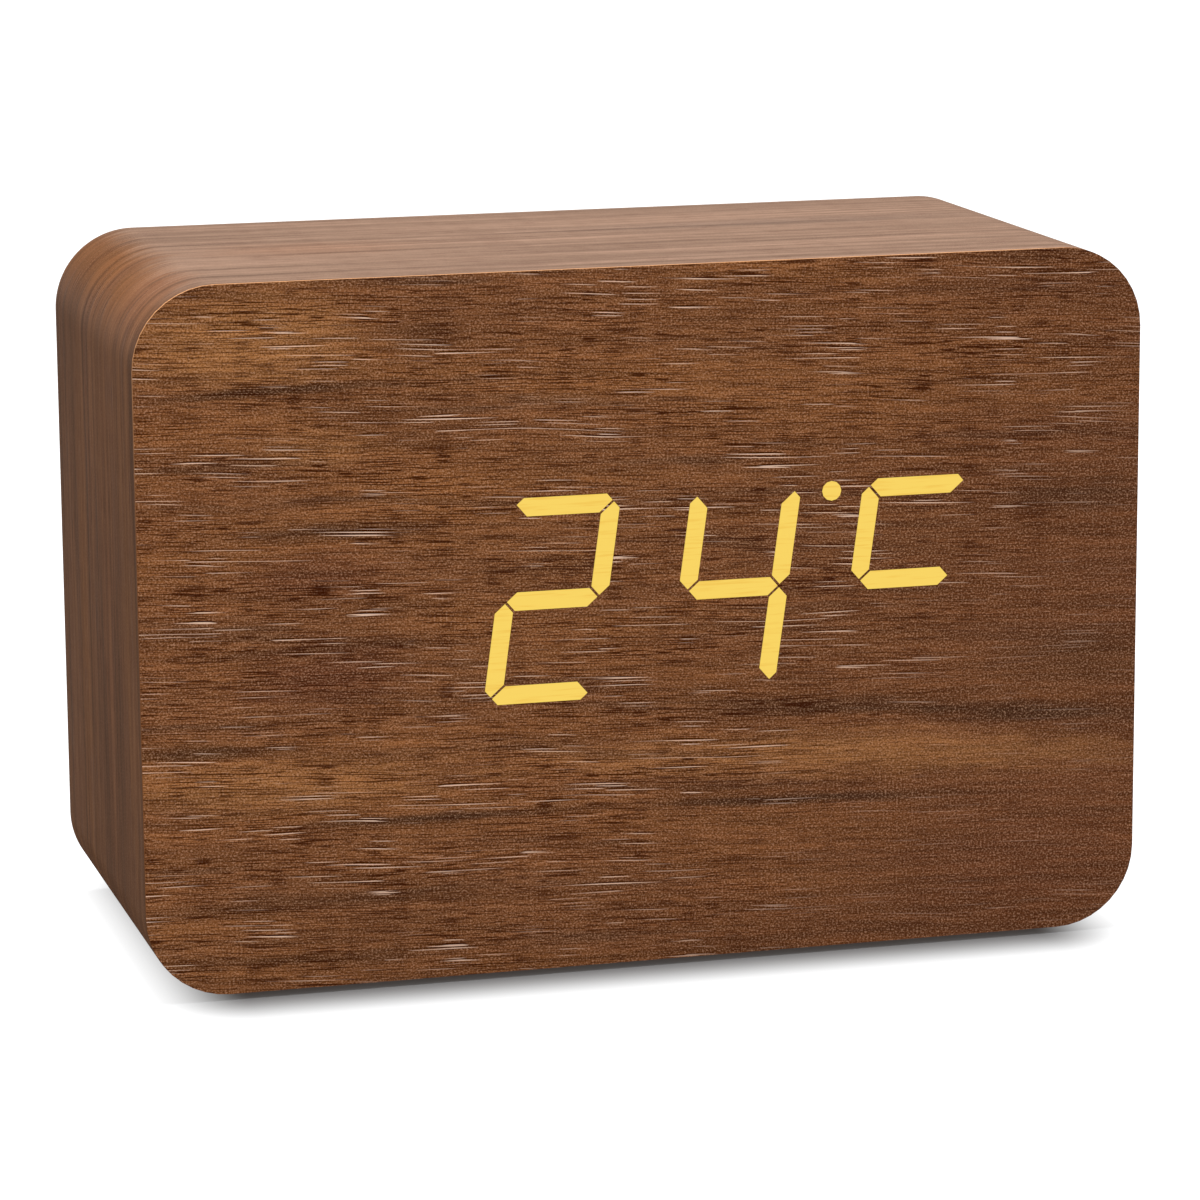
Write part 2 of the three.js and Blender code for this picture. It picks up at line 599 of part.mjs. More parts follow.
// Display module: a reflector with a well for each bar, clear resin cast in the wells and in a
// thin layer behind each digit, and the circuit board that carries the light chips
function addDisplay(clock) {
  const place = (name, geometry, material, y) =>
    piece(clock, name, geometry, material, DISPLAY_CENTRE_X, y, displayZ);
  const wells = Object.keys(LIT_BARS).flatMap((digit) =>
    [...ALL_BARS].map((bar) => barOutline(bar, digit)));
  wells.push(degreeOutline(0), ...colonOutlines(0));
  place('display_reflector', plate(rectangle(moduleWidth, moduleHeight), reflectorDepth,
    wells), FINISHES.reflectorPlastic, boardFrontY);

  const layerOutline = rectangle(DIGIT_WIDTH + 2 * POTTING_MARGIN,
    DIGIT_HEIGHT + 2 * POTTING_MARGIN);
  const layerY = FILM_THICKNESS + reflectorDepth;
  const castBar = (outline, fromY) =>
    plate(inset(outline, GLUE_LINE), layerY - fromY + POTTING_THICKNESS).translate(0, fromY, 0);
  for (const [digit, lit] of Object.entries(LIT_BARS)) {
    const layer = plate(slanted(layerOutline, digitCentres[digit]), POTTING_THICKNESS)
      .translate(0, layerY, 0);
    const bars = [...ALL_BARS].map((bar) =>
      castBar(barOutline(bar, digit), lit.includes(bar) ? 0 : FILM_THICKNESS));
    place(`digit_${digit}_bars`, fuse(layer, ...bars), FINISHES.amberResin, frontY);
  }

  const colonLayer = slanted(rectangle(2 * COLON_DOT_RADIUS,
    COLON_DOT_SPREAD + 2 * COLON_DOT_RADIUS), 0);
  const dots = colonOutlines(GLUE_LINE).map((outline) =>
    plate(outline, reflectorDepth + POTTING_THICKNESS));
  place('colon_bars', fuse(plate(colonLayer, POTTING_THICKNESS).translate(0, reflectorDepth, 0),
    ...dots), FINISHES.amberResin, boardFrontY);
  place('degree_bar', plate(degreeOutline(GLUE_LINE), boardBackY - frontY),
    FINISHES.amberResin, frontY);

  const screwHoles = [-1, 1].map((side) => circle(DISPLAY_SCREW_RADIUS + GAP,
    side * displayScrewX, 0, SMALL_ROUND_STEPS));
  place('display_board', plate(rectangle(displayBoardWidth, displayBoardHeight),
    CIRCUIT_THICKNESS, screwHoles), FINISHES.greenCircuit, boardBackY);

  for (const [side, name] of [[-1, 'left'], [1, 'right']]) {
    const screw = panScrew(DISPLAY_SCREW_RADIUS, DISPLAY_SCREW_LENGTH,
      DISPLAY_SCREW_HEAD_RADIUS, DISPLAY_SCREW_HEAD_HEIGHT);
    piece(clock, `display_screw_${name}`, screw, FINISHES.steel,
      DISPLAY_CENTRE_X + side * displayScrewX, displayBoardBackY, displayZ);
  }
}

// A screw with its head's underside at y = 0, its shank towards -Y and its head towards +Y
function panScrew(radius, length, headRadius, headHeight) {
  const tip = radius / 2;
  const edge = headHeight / 3;
  const body = turned([
    [0, -length], [tip, -length], [radius, -length + radius], [radius, 0],
    [headRadius, 0], [headRadius, headHeight - edge], [headRadius - edge, headHeight],
    [0, headHeight]
  ], ROUND_STEPS);
  const share = headRadius / COVER_SCREW_HEAD_RADIUS;
  const slotLength = CROSS_SLOT_LENGTH * share;
  const slotWidth = CROSS_SLOT_WIDTH * share;
  const slotDepth = CROSS_SLOT_DEPTH * share;
  return carve(body,
    block(slotLength, slotDepth + OVERRUN, slotWidth, 0, headHeight - slotDepth, 0),
    block(slotWidth, slotDepth + OVERRUN, slotLength, 0, headHeight - slotDepth, 0));
}

// Flat cable between two headers, from the display board to the main board
function addRibbon(clock) {
  const header = () => block(HEADER_WIDTH, HEADER_DEPTH, HEADER_HEIGHT);
  const startY = displayBoardBackY + HEADER_DEPTH;
  const endY = mainBoardFrontY - HEADER_DEPTH;
  piece(clock, 'display_header', header(), FINISHES.blackPlastic, headerX, displayBoardBackY,
    headerZ);
  piece(clock, 'main_header', header(), FINISHES.blackPlastic, headerX, endY, headerZ);
  const length = endY - startY;
  const edge = (offset) => Array.from({ length: RIBBON_STEPS + 1 }, (_, step) => {
    const along = step / RIBBON_STEPS;
    const sag = RIBBON_SAG * Math.sin(Math.PI * along) ** 2;
    return point(along * length, offset - sag);
  });
  const outline = [...edge(-RIBBON_THICKNESS / 2), ...edge(RIBBON_THICKNESS / 2).reverse()];
  const ribbon = new THREE.ExtrudeGeometry(new THREE.Shape(outline),
    { depth: RIBBON_WIDTH, bevelEnabled: false });
  ribbon.translate(0, 0, -RIBBON_WIDTH / 2).rotateX(Math.PI / 2).rotateZ(Math.PI / 2);
  piece(clock, 'display_ribbon', ribbon, FINISHES.ribbon, headerX, startY, headerZ);
}

// Rear cover: plate, battery bay and bosses in one moulding
function addRearCover(clock) {
  const coverOutline = roundedRectangle(rebateWidth - 2 * GAP, rebateHeight - 2 * GAP,
    rebateRadius - GAP);
  const bayDepth = coverFrontY - bayBackY;
  const slotHeight = TONGUE_WIDTH + 2 * GAP;
  const through = COVER_THICKNESS + 2 * OVERRUN;
  const atCover = (geometry) => geometry.translate(0, coverFrontY - OVERRUN, 0);
  const holeThrough = (radius, x, z) =>
    rod(radius, through, x, coverFrontY - OVERRUN, z);
  const moulding = fuse(
    plate(coverOutline, COVER_THICKNESS).translate(0, coverFrontY, 0),
    block(bayRight - bayLeft, bayDepth + COVER_THICKNESS / 2, bayTop - bayBottom,
      bayX, bayBackY, bayZ),
    ...bossPlaces.flatMap(([x, z]) => [
      rod(BOSS_RADIUS, BOARD_STANDOFF + COVER_THICKNESS / 2, x, mainBoardBackY, z),
      rod(STAKE_RADIUS, CIRCUIT_THICKNESS + BOARD_STANDOFF, x, mainBoardFrontY, z,
        SMALL_ROUND_STEPS),
      rod(STAKE_HEAD_RADIUS, STAKE_HEAD_HEIGHT, x, mainBoardFrontY - STAKE_HEAD_HEIGHT, z,
        SMALL_ROUND_STEPS)
    ])
  );
  const tongueSlots = tonguePlaces().flatMap((z) => [
    block(BAY_WALL + 2 * OVERRUN, coverFrontY - tongueSlotY, slotHeight,
      bayLeft + BAY_WALL / 2, tongueSlotY, z),
    block(DOOR_LIP_WIDTH + OVERRUN, COVER_THICKNESS, slotHeight,
      bayX - recessLength / 2 + (DOOR_LIP_WIDTH + OVERRUN) / 2, coverFrontY - OVERRUN, z)
  ]);
  const cover = carve(moulding,
    plate(roundedRectangle(recessLength, recessHeight, DOOR_CORNER_RADIUS + DOOR_CLEARANCE,
      bayX, bayZ), DOOR_THICKNESS + OVERRUN).translate(0, doorFrontY, 0),
    block(bayLength, coverBackY - bayFloorY, bayHeight, bayX, bayFloorY, bayZ),
    ...tongueSlots,
    rod(NAIL_NOTCH_RADIUS, NAIL_NOTCH_DEPTH + OVERRUN, bayX + recessLength / 2,
      coverBackY - NAIL_NOTCH_DEPTH, bayZ),
    ...keyPlaces().map((x) => holeThrough(KEY_RADIUS + GAP, x, keyZ)),
    atCover(block(slideSlotLength, through, SLIDE_KNOB_WIDTH + 2 * GAP, slideSlotX, 0, slideZ)),
    holeThrough(JACK_COLLAR_RADIUS + GAP, stripX, jackZ),
    ...slotRow(GRILLE_SLOTS).map((offset) => atCover(block(GRILLE_SLOT_LENGTH, through,
      GRILLE_SLOT_WIDTH, stripX, 0, buzzerZ + offset))),
    ...slotRow(VENT_SLOTS).map((offset) => atCover(block(GRILLE_SLOT_WIDTH, through,
      VENT_SLOT_LENGTH, stripX + offset, 0, keyZ))),
    ...coverScrewPlaces().flatMap(([x, z]) => [
      holeThrough(COVER_SCREW_RADIUS + GAP, x, z),
      rod(COVER_SCREW_HEAD_RADIUS + GAP, COUNTERBORE_DEPTH + OVERRUN, x,
        coverBackY - COUNTERBORE_DEPTH, z)
    ])
  );
  piece(clock, 'rear_cover', cover, FINISHES.blackPlastic);

  const names = ['top_left', 'top_right', 'bottom_left', 'bottom_right'];
  coverScrewPlaces().forEach(([x, z], index) => {
    const screw = panScrew(COVER_SCREW_RADIUS, COVER_SCREW_LENGTH, COVER_SCREW_HEAD_RADIUS,
      COVER_SCREW_HEAD_HEIGHT);
    piece(clock, `cover_screw_${names[index]}`, screw, FINISHES.steel, x,
      coverBackY - COUNTERBORE_DEPTH, z);
  });
}

const slotRow = (count) => Array.from({ length: count }, (_, index) =>
  (index - (count - 1) / 2) * GRILLE_PITCH);
const tonguePlaces = () => [-1, 1].map((side) => bayZ + (side * TONGUE_SPREAD) / 2);
const keyPlaces = () => KEY_NAMES.map((_, index) =>
  (index - (KEY_NAMES.length - 1) / 2) * KEY_PITCH);

// Battery door: a plate with two tongues on its hinge side and a latch on its free side
function addBatteryDoor(clock) {
  const ribX = bayX - bayLength / 2 + GAP;
  const tongueLeft = doorHingeX - TONGUE_REACH;
  const tongueLength = ribX + TONGUE_RIB_THICKNESS - tongueLeft;
  const lap = DOOR_THICKNESS / 2;
  const tongues = tonguePlaces().flatMap((z) => [
    block(TONGUE_RIB_THICKNESS, doorFrontY - tongueBottomY + lap, TONGUE_WIDTH,
      ribX + TONGUE_RIB_THICKNESS / 2, tongueBottomY, z),
    block(tongueLength, TONGUE_THICKNESS, TONGUE_WIDTH, tongueLeft + tongueLength / 2,
      tongueBottomY, z)
  ]);
  const latchRight = bayX + bayLength / 2 - LATCH_SETBACK;
  const latchBottomY = doorFrontY - LATCH_DEPTH;
  const gripX = bayX + doorLength / 2 - GRIP_SETBACK;
  const ridges = Array.from({ length: GRIP_RIDGES }, (_, index) =>
    block(GRIP_RIDGE_WIDTH, GRIP_RIDGE_HEIGHT + lap, GRIP_RIDGE_LENGTH,
      gripX - index * GRIP_RIDGE_PITCH, coverBackY - lap, bayZ));
  const door = fuse(
    plate(roundedRectangle(doorLength, doorHeight, DOOR_CORNER_RADIUS, bayX, bayZ),
      DOOR_THICKNESS).translate(0, doorFrontY, 0),
    ...tongues,
    block(LATCH_THICKNESS, LATCH_DEPTH + lap, LATCH_WIDTH, latchRight - LATCH_THICKNESS / 2,
      latchBottomY, bayZ),
    block(LATCH_THICKNESS, LATCH_BUMP_DEPTH, LATCH_WIDTH,
      latchRight - LATCH_THICKNESS / 2 + LATCH_BUMP, latchBottomY, bayZ),
    ...ridges
  );
  piece(clock, 'battery_door', door, FINISHES.blackPlastic);
}

// A wire wound along +X from the contact's face, drawn in towards the cell
class SpringCurve extends THREE.Curve {
  getPoint(share, target = new THREE.Vector3()) {
    const angle = share * SPRING_CURLS * 2 * Math.PI;
    const radius = THREE.MathUtils.lerp(SPRING_BASE_RADIUS, SPRING_TIP_RADIUS, share);
    const free = SPRING_LENGTH - SPRING_WIRE_RADIUS;
    return target.set(share * free, radius * Math.cos(angle), radius * Math.sin(angle));
  }
}

function springWire() {
  const section = new THREE.Shape(circle(SPRING_WIRE_RADIUS, 0, 0, WIRE_SIDES));
  return new THREE.ExtrudeGeometry(section, {
    steps: Math.round(SPRING_CURLS * STEPS_PER_CURL),
    extrudePath: new SpringCurve(),
    bevelEnabled: false
  });
}

// A contact plate against an end wall of the bay; ends says, for each cell that it meets, the
// cell's place and whether its flat base or its nub faces the plate. towards is 1 at the left.
function contact(ends, towards) {
  const places = ends.map(([cell]) => cellZ(cell));
  const top = Math.max(...places) + CONTACT_WIDTH / 2;
  const bottom = Math.min(...places) - CONTACT_WIDTH / 2;
  const faced = (geometry, z) => geometry.rotateY(towards > 0 ? 0 : Math.PI)
    .translate((towards * CONTACT_THICKNESS) / 2, cellY, z);
  const lap = CONTACT_THICKNESS / 4;
  const bumpLength = CONTACT_BUMP_HEIGHT + CONTACT_THICKNESS / 2;
  const features = ends.map(([cell, end]) => faced(end === 'base'
    ? springWire().translate(CONTACT_THICKNESS / 2 - lap, 0, 0)
    : rod(CONTACT_BUMP_RADIUS, bumpLength, 0, 0, 0, SMALL_ROUND_STEPS).rotateZ(-Math.PI / 2),
  cellZ(cell)));
  return fuse(
    block(CONTACT_THICKNESS, contactTopY - bayFloorY, top - bottom, 0, bayFloorY,
      (top + bottom) / 2),
    ...features
  );
}

const cellZ = (cell) => bayZ + (cell - (CELL_COUNT - 1) / 2) * cellPitch;

function addCells(clock) {
  const cap = CELL_LENGTH - CELL_NUB_LENGTH;
  const edge = CELL_EDGE_RADIUS;
  const profile = [
    [0, CELL_BASE_DEPTH], [CELL_BASE_RADIUS - edge, CELL_BASE_DEPTH], [CELL_BASE_RADIUS, 0],
    [cellRadius - edge, 0], [cellRadius, edge], [cellRadius, cap - edge],
    [cellRadius - edge, cap], [CELL_NUB_RADIUS, cap],
    [CELL_NUB_RADIUS, CELL_LENGTH - edge / 2], [CELL_NUB_RADIUS - edge / 2, CELL_LENGTH],
    [0, CELL_LENGTH]
  ];
  const reach = bayLength / 2 - contactGap;
  for (let cell = 0; cell < CELL_COUNT; cell += 1) {
    const nubSide = cell % 2 === 0 ? 1 : -1;
    const baseX = bayX + nubSide * (reach - CONTACT_BUMP_HEIGHT - CELL_LENGTH);
    const mesh = piece(clock, `battery_${cell + 1}`, turned(profile), FINISHES.cellSleeve,
      baseX, cellY, cellZ(cell));
    mesh.rotation.z = (-nubSide * Math.PI) / 2;
  }
  const leftX = bayX - bayLength / 2 + CONTACT_THICKNESS / 2;
  const rightX = bayX + bayLength / 2 - CONTACT_THICKNESS / 2;
  const contacts = [
    ['contact_negative', [[0, 'base']], 1, leftX],
    ['contact_link_left', [[1, 'nub'], [2, 'base']], 1, leftX],
    ['contact_link_right', [[0, 'nub'], [1, 'base']], -1, rightX],
    ['contact_positive', [[2, 'nub']], -1, rightX]
  ];
  for (const [name, ends, towards, x] of contacts) {
    piece(clock, name, contact(ends, towards), FINISHES.nickel, x);
  }
}

// Main board and the parts soldered to it
function addMainBoard(clock) {
  const right = hollowWidth / 2 - BOARD_MARGIN;
  const top = hollowHeight / 2 - BOARD_MARGIN;
  const notchX = bayRight + BAY_BOARD_CLEARANCE;
  const notchZ = bayTop + BAY_BOARD_CLEARANCE;
  const outline = [
    point(notchX, -top), point(right - HOLLOW_CHAMFER, -top),
    point(right, -top + HOLLOW_CHAMFER), point(right, top - HOLLOW_CHAMFER),
    point(right - HOLLOW_CHAMFER, top), point(-right + HOLLOW_CHAMFER, top),
    point(-right, top - HOLLOW_CHAMFER), point(-right, notchZ), point(notchX, notchZ)
  ];
  const holes = bossPlaces.map(([x, z]) => circle(STAKE_RADIUS + GAP, x, z, SMALL_ROUND_STEPS));
  piece(clock, 'main_board', plate(outline, CIRCUIT_THICKNESS, holes), FINISHES.greenCircuit, 0,
    mainBoardFrontY);

  const chipZ = slideZ + CHIP_ABOVE_SLIDE;
  const chipTop = CHIP_HEIGHT / 2;
  const chip = turned([
    [0, -CHIP_HEIGHT], [CHIP_RADIUS / 2, -CHIP_HEIGHT + chipTop / 4],
    [CHIP_RADIUS - chipTop, -chipTop], [CHIP_RADIUS, 0], [0, 0]
  ]);
  piece(clock, 'controller_chip', chip, FINISHES.blackPlastic, stripX, mainBoardFrontY, chipZ);

  const crystal = new THREE.CylinderGeometry(CRYSTAL_RADIUS, CRYSTAL_RADIUS, CRYSTAL_LENGTH,
    SMALL_ROUND_STEPS).rotateZ(Math.PI / 2);
  piece(clock, 'quartz_crystal', crystal, FINISHES.steel, stripX,
    mainBoardFrontY - CRYSTAL_RADIUS - GAP, chipZ + CRYSTAL_ABOVE_CHIP);

  const receiver = fuse(
    block(RECEIVER_WIDTH, RECEIVER_THICKNESS, RECEIVER_HEIGHT),
    ...Array.from({ length: RECEIVER_PINS }, (_, index) => block(RECEIVER_PIN_SIZE,
      RECEIVER_STANDOFF + RECEIVER_THICKNESS / 2, RECEIVER_PIN_SIZE,
      (index - (RECEIVER_PINS - 1) / 2) * RECEIVER_PIN_PITCH, RECEIVER_THICKNESS / 2,
      -RECEIVER_HEIGHT / 2 + RECEIVER_PIN_INSET))
  );
  piece(clock, 'receiver_board', receiver, FINISHES.greenCircuit,
    -hollowWidth / 2 + RECEIVER_FROM_SIDE,
    mainBoardFrontY - RECEIVER_STANDOFF - RECEIVER_THICKNESS, keyZ);

  const buzzer = turned([
    [0, 0], [BUZZER_RADIUS, 0], [BUZZER_RADIUS, BUZZER_HEIGHT],
    [BUZZER_HOLE_RADIUS, BUZZER_HEIGHT], [BUZZER_HOLE_RADIUS, BUZZER_HEIGHT - BUZZER_HOLE_DEPTH],
    [0, BUZZER_HEIGHT - BUZZER_HOLE_DEPTH]
  ]);
  piece(clock, 'buzzer', buzzer, FINISHES.blackPlastic, stripX, mainBoardBackY, buzzerZ);

  const sensor = fuse(
    block(SENSOR_LEG_WIDTH, SENSOR_STANDOFF, SENSOR_LEG_THICKNESS),
    new THREE.SphereGeometry(SENSOR_RADIUS, SMALL_ROUND_STEPS, SMALL_ROUND_STEPS / 2)
      .translate(0, SENSOR_STANDOFF, 0)
  );
  piece(clock, 'temperature_sensor', sensor, FINISHES.ferrite, stripX, mainBoardBackY, keyZ);

  const collarY = coverBackY - JACK_COLLAR_RECESS - mainBoardBackY;
  const boreY = collarY - JACK_BORE_DEPTH;
  const jack = fuse(
    carve(
      fuse(block(JACK_SIZE, JACK_BODY_HEIGHT, JACK_SIZE), rod(JACK_COLLAR_RADIUS, collarY, 0, 0, 0)),
      rod(JACK_BORE_RADIUS, JACK_BORE_DEPTH + OVERRUN, 0, boreY, 0)
    ),
    rod(JACK_PIN_RADIUS, collarY - JACK_PIN_SETBACK, 0, 0, 0, SMALL_ROUND_STEPS)
  );
  piece(clock, 'dc_jack', jack, FINISHES.blackPlastic, stripX, mainBoardBackY, jackZ);
}

// Keys: switch body, plunger and cap in a line behind each hole of the cover
function addKeys(clock) {
  const plungerTop = SWITCH_HEIGHT + PLUNGER_PROUD;
  const capBack = coverBackY - mainBoardBackY + KEY_PROUD;
  const flangeTop = BOARD_STANDOFF - GAP;
  const flangeBottom = flangeTop - KEY_FLANGE_THICKNESS;
  const switchBody = carve(block(SWITCH_SIZE, SWITCH_HEIGHT, SWITCH_SIZE),
    rod(PLUNGER_RADIUS + GAP, PLUNGER_BORE_DEPTH + OVERRUN, 0,
      SWITCH_HEIGHT - PLUNGER_BORE_DEPTH, 0, SMALL_ROUND_STEPS));
  const plunger = rod(PLUNGER_RADIUS, PLUNGER_SUNK + PLUNGER_PROUD, 0,
    SWITCH_HEIGHT - PLUNGER_SUNK, 0, SMALL_ROUND_STEPS);
  const cap = turned([
    [0, plungerTop], [KEY_STEM_RADIUS, plungerTop], [KEY_STEM_RADIUS, flangeBottom],
    [KEY_FLANGE_RADIUS, flangeBottom], [KEY_FLANGE_RADIUS, flangeTop], [KEY_RADIUS, flangeTop],
    [KEY_RADIUS, capBack - KEY_EDGE_RADIUS], [KEY_RADIUS - KEY_EDGE_RADIUS, capBack],
    [KEY_RADIUS / 2, capBack - KEY_DISH / 2], [0, capBack - KEY_DISH]
  ]);
  keyPlaces().forEach((x, index) => {
    const name = KEY_NAMES[index];
    piece(clock, `${name}_switch`, switchBody, FINISHES.blackPlastic, x, mainBoardBackY, keyZ);
    piece(clock, `${name}_plunger`, plunger, FINISHES.blackPlastic, x, mainBoardBackY, keyZ);
    piece(clock, `${name}_button`, cap, FINISHES.blackPlastic, x, mainBoardBackY, keyZ);
  });
}

// Slide switch: a body with a slot along X, and the knob that stands out through the cover
function addSlideSwitch(clock) {
  const slotX = slideSlotX - stripX;
  const body = carve(
    block(SLIDE_BODY_LENGTH, SLIDE_BODY_HEIGHT, SLIDE_BODY_WIDTH, slotX),
    block(slideSlotLength, SLIDE_SLOT_DEPTH + OVERRUN, SLIDE_STEM_WIDTH + 2 * GAP, slotX,
      SLIDE_BODY_HEIGHT - SLIDE_SLOT_DEPTH)
  );
  piece(clock, 'slide_switch', body, FINISHES.steel, stripX, mainBoardBackY, slideZ);

  const knobTop = coverBackY - mainBoardBackY + SLIDE_KNOB_PROUD;
  const stemBottom = SLIDE_BODY_HEIGHT - SLIDE_STEM_SUNK;
  const shoulder = SLIDE_BODY_HEIGHT + SLIDE_KNOB_SHOULDER;
  const grooves = Array.from({ length: SLIDE_GROOVES }, (_, index) => block(SLIDE_GROOVE_WIDTH,
    SLIDE_GROOVE_DEPTH + OVERRUN, SLIDE_KNOB_WIDTH + OVERRUN,
    (index - (SLIDE_GROOVES - 1) / 2) * SLIDE_GROOVE_PITCH, knobTop - SLIDE_GROOVE_DEPTH));
  const knob = carve(
    fuse(
      block(SLIDE_KNOB_LENGTH, knobTop - stemBottom, SLIDE_STEM_WIDTH, 0, stemBottom),
      block(SLIDE_KNOB_LENGTH, knobTop - shoulder, SLIDE_KNOB_WIDTH, 0, shoulder)
    ),
    ...grooves
  );
  piece(clock, 'slide_knob', knob, FINISHES.blackPlastic, stripX, mainBoardBackY, slideZ);
}

// Aerial: a ferrite rod with its winding, in a bracket under the top of the case
function addAerial(clock) {
  const ringRadius = ROD_RADIUS + GAP + BRACKET_RING_WALL;
  const rodY = displayBoardBackY + BRACKET_BEHIND_DISPLAY + ringRadius;
  const ceiling = hollowHeight / 2;
  const rodZ = ceiling - ringRadius;
  const along = (radius, length, x) => new THREE.CylinderGeometry(radius, radius, length,
    ROUND_STEPS).rotateZ(Math.PI / 2).translate(x, 0, 0);
  const ringPlaces = [-1, 1].map((side) => (side * BRACKET_RING_SPREAD) / 2);
  const bracket = carve(
    fuse(
      block(BRACKET_LENGTH, BRACKET_DEPTH, BRACKET_THICKNESS, 0, -BRACKET_DEPTH / 2,
        ringRadius - BRACKET_THICKNESS / 2),
      ...ringPlaces.map((x) => along(ringRadius, BRACKET_RING_LENGTH, x))
    ),
    along(ROD_RADIUS + GAP, BRACKET_LENGTH + 2 * OVERRUN, 0),
    along(COIL_RADIUS + GAP, COIL_LENGTH + 2 * GAP, 0)
  );
  piece(clock, 'antenna_bracket', bracket, FINISHES.blackPlastic, ROD_CENTRE_X, rodY, rodZ);
  piece(clock, 'ferrite_rod', along(ROD_RADIUS, ROD_LENGTH, 0), FINISHES.ferrite, ROD_CENTRE_X,
    rodY, rodZ);
  const coil = turned([
    [ROD_RADIUS + GAP, -COIL_LENGTH / 2], [COIL_RADIUS, -COIL_LENGTH / 2],
    [COIL_RADIUS, COIL_LENGTH / 2], [ROD_RADIUS + GAP, COIL_LENGTH / 2],
    [ROD_RADIUS + GAP, -COIL_LENGTH / 2]
  ]).rotateZ(Math.PI / 2);
  piece(clock, 'antenna_coil', coil, FINISHES.copper, ROD_CENTRE_X, rodY, rodZ);
}

function addFeet(clock) {
  const pad = plate(circle(FOOT_RADIUS, 0, 0, ROUND_STEPS), FOOT_HEIGHT).rotateX(Math.PI / 2);
  const sideX = CLOCK_WIDTH / 2 - FOOT_SIDE_INSET;
  const sideY = CLOCK_DEPTH / 2 - FOOT_FRONT_INSET;
  const places = { front_left: [-1, -1], front_right: [1, -1], rear_left: [-1, 1],
    rear_right: [1, 1] };
  for (const [name, [x, y]] of Object.entries(places)) {
    piece(clock, `foot_${name}`, pad, FINISHES.rubber, x * sideX, y * sideY);
  }
}

const clock = new THREE.Group();
const caseFrame = new THREE.Group();
caseFrame.position.z = caseCentreZ;
clock.add(caseFrame);
addCase(caseFrame);
addDisplay(caseFrame);
addRibbon(caseFrame);
addRearCover(caseFrame);
addBatteryDoor(caseFrame);
addCells(caseFrame);
addMainBoard(caseFrame);
addKeys(caseFrame);
addSlideSwitch(caseFrame);
addAerial(caseFrame);
addFeet(clock);

export default clock;
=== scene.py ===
"""Studio scene of a radio-controlled alarm clock in a wood-look block.

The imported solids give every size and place. This script dresses them, and puts smooth pieces in
the place of those whose roundness or grain direction a faceted solid can't show.
"""

import logging
import math
from dataclasses import dataclass
from enum import Enum
from functools import cached_property
from typing import Any, Sequence

import bmesh
import bpy
import numpy as np
from mathutils import Matrix, Vector


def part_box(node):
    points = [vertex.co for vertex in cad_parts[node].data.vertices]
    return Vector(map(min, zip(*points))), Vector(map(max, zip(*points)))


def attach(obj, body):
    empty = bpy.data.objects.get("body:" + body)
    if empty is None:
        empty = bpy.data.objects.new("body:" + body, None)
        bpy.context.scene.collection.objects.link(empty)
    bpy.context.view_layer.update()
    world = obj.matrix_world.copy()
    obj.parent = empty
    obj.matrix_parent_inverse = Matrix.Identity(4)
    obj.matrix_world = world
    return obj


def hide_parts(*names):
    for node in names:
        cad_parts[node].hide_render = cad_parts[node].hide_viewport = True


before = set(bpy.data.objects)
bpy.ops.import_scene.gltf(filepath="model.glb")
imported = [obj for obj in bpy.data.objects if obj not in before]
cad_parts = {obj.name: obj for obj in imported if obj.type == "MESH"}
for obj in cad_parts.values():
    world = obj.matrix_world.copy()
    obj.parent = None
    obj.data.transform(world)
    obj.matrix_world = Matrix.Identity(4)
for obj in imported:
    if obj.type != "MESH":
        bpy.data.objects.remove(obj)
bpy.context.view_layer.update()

MM = 0.001
PER_METRE = 1000.0
CIRCLE_STEPS = 72
CLOCK = "clock"

log = logging.getLogger("alarm_clock")

Colour = tuple[float, float, float, float]
Span = tuple[float, float]
Triple = tuple[float, float, float]
Socket = bpy.types.NodeSocket


def screen(red: float, green: float, blue: float) -> Colour:
    """Turns a colour as a screen shows it into a linear one, by the sRGB curve.

    Args:
        red: Red from 0 to 255.
        green: Green from 0 to 255.
        blue: Blue from 0 to 255.

    Returns:
        The linear colour with an alpha of 1.
    """
    share = np.array([red, green, blue]) / 255.0
    linear = np.where(share <= 0.04045, share / 12.92, ((share + 0.055) / 1.055) ** 2.4)
    return (*linear.tolist(), 1.0)


def grey(level: float) -> Colour:
    """A neutral linear colour."""
    return (level, level, level, 1.0)


@dataclass(frozen=True)
class Grain:
    """A noise and the marks that it makes.

    Its size is a blot's length along each axis in millimetres, detail and roughness say how many
    finer octaves it has and how strong they are, and the shift sets it apart from other noises.
    A mark begins where the noise passes the first level and has its peak from the second one on.
    """

    size: Triple
    detail: float = 2.0
    roughness: float = 0.5
    shift: float = 0.0
    levels: Span = (0.3, 0.7)
    peak: float = 1.0


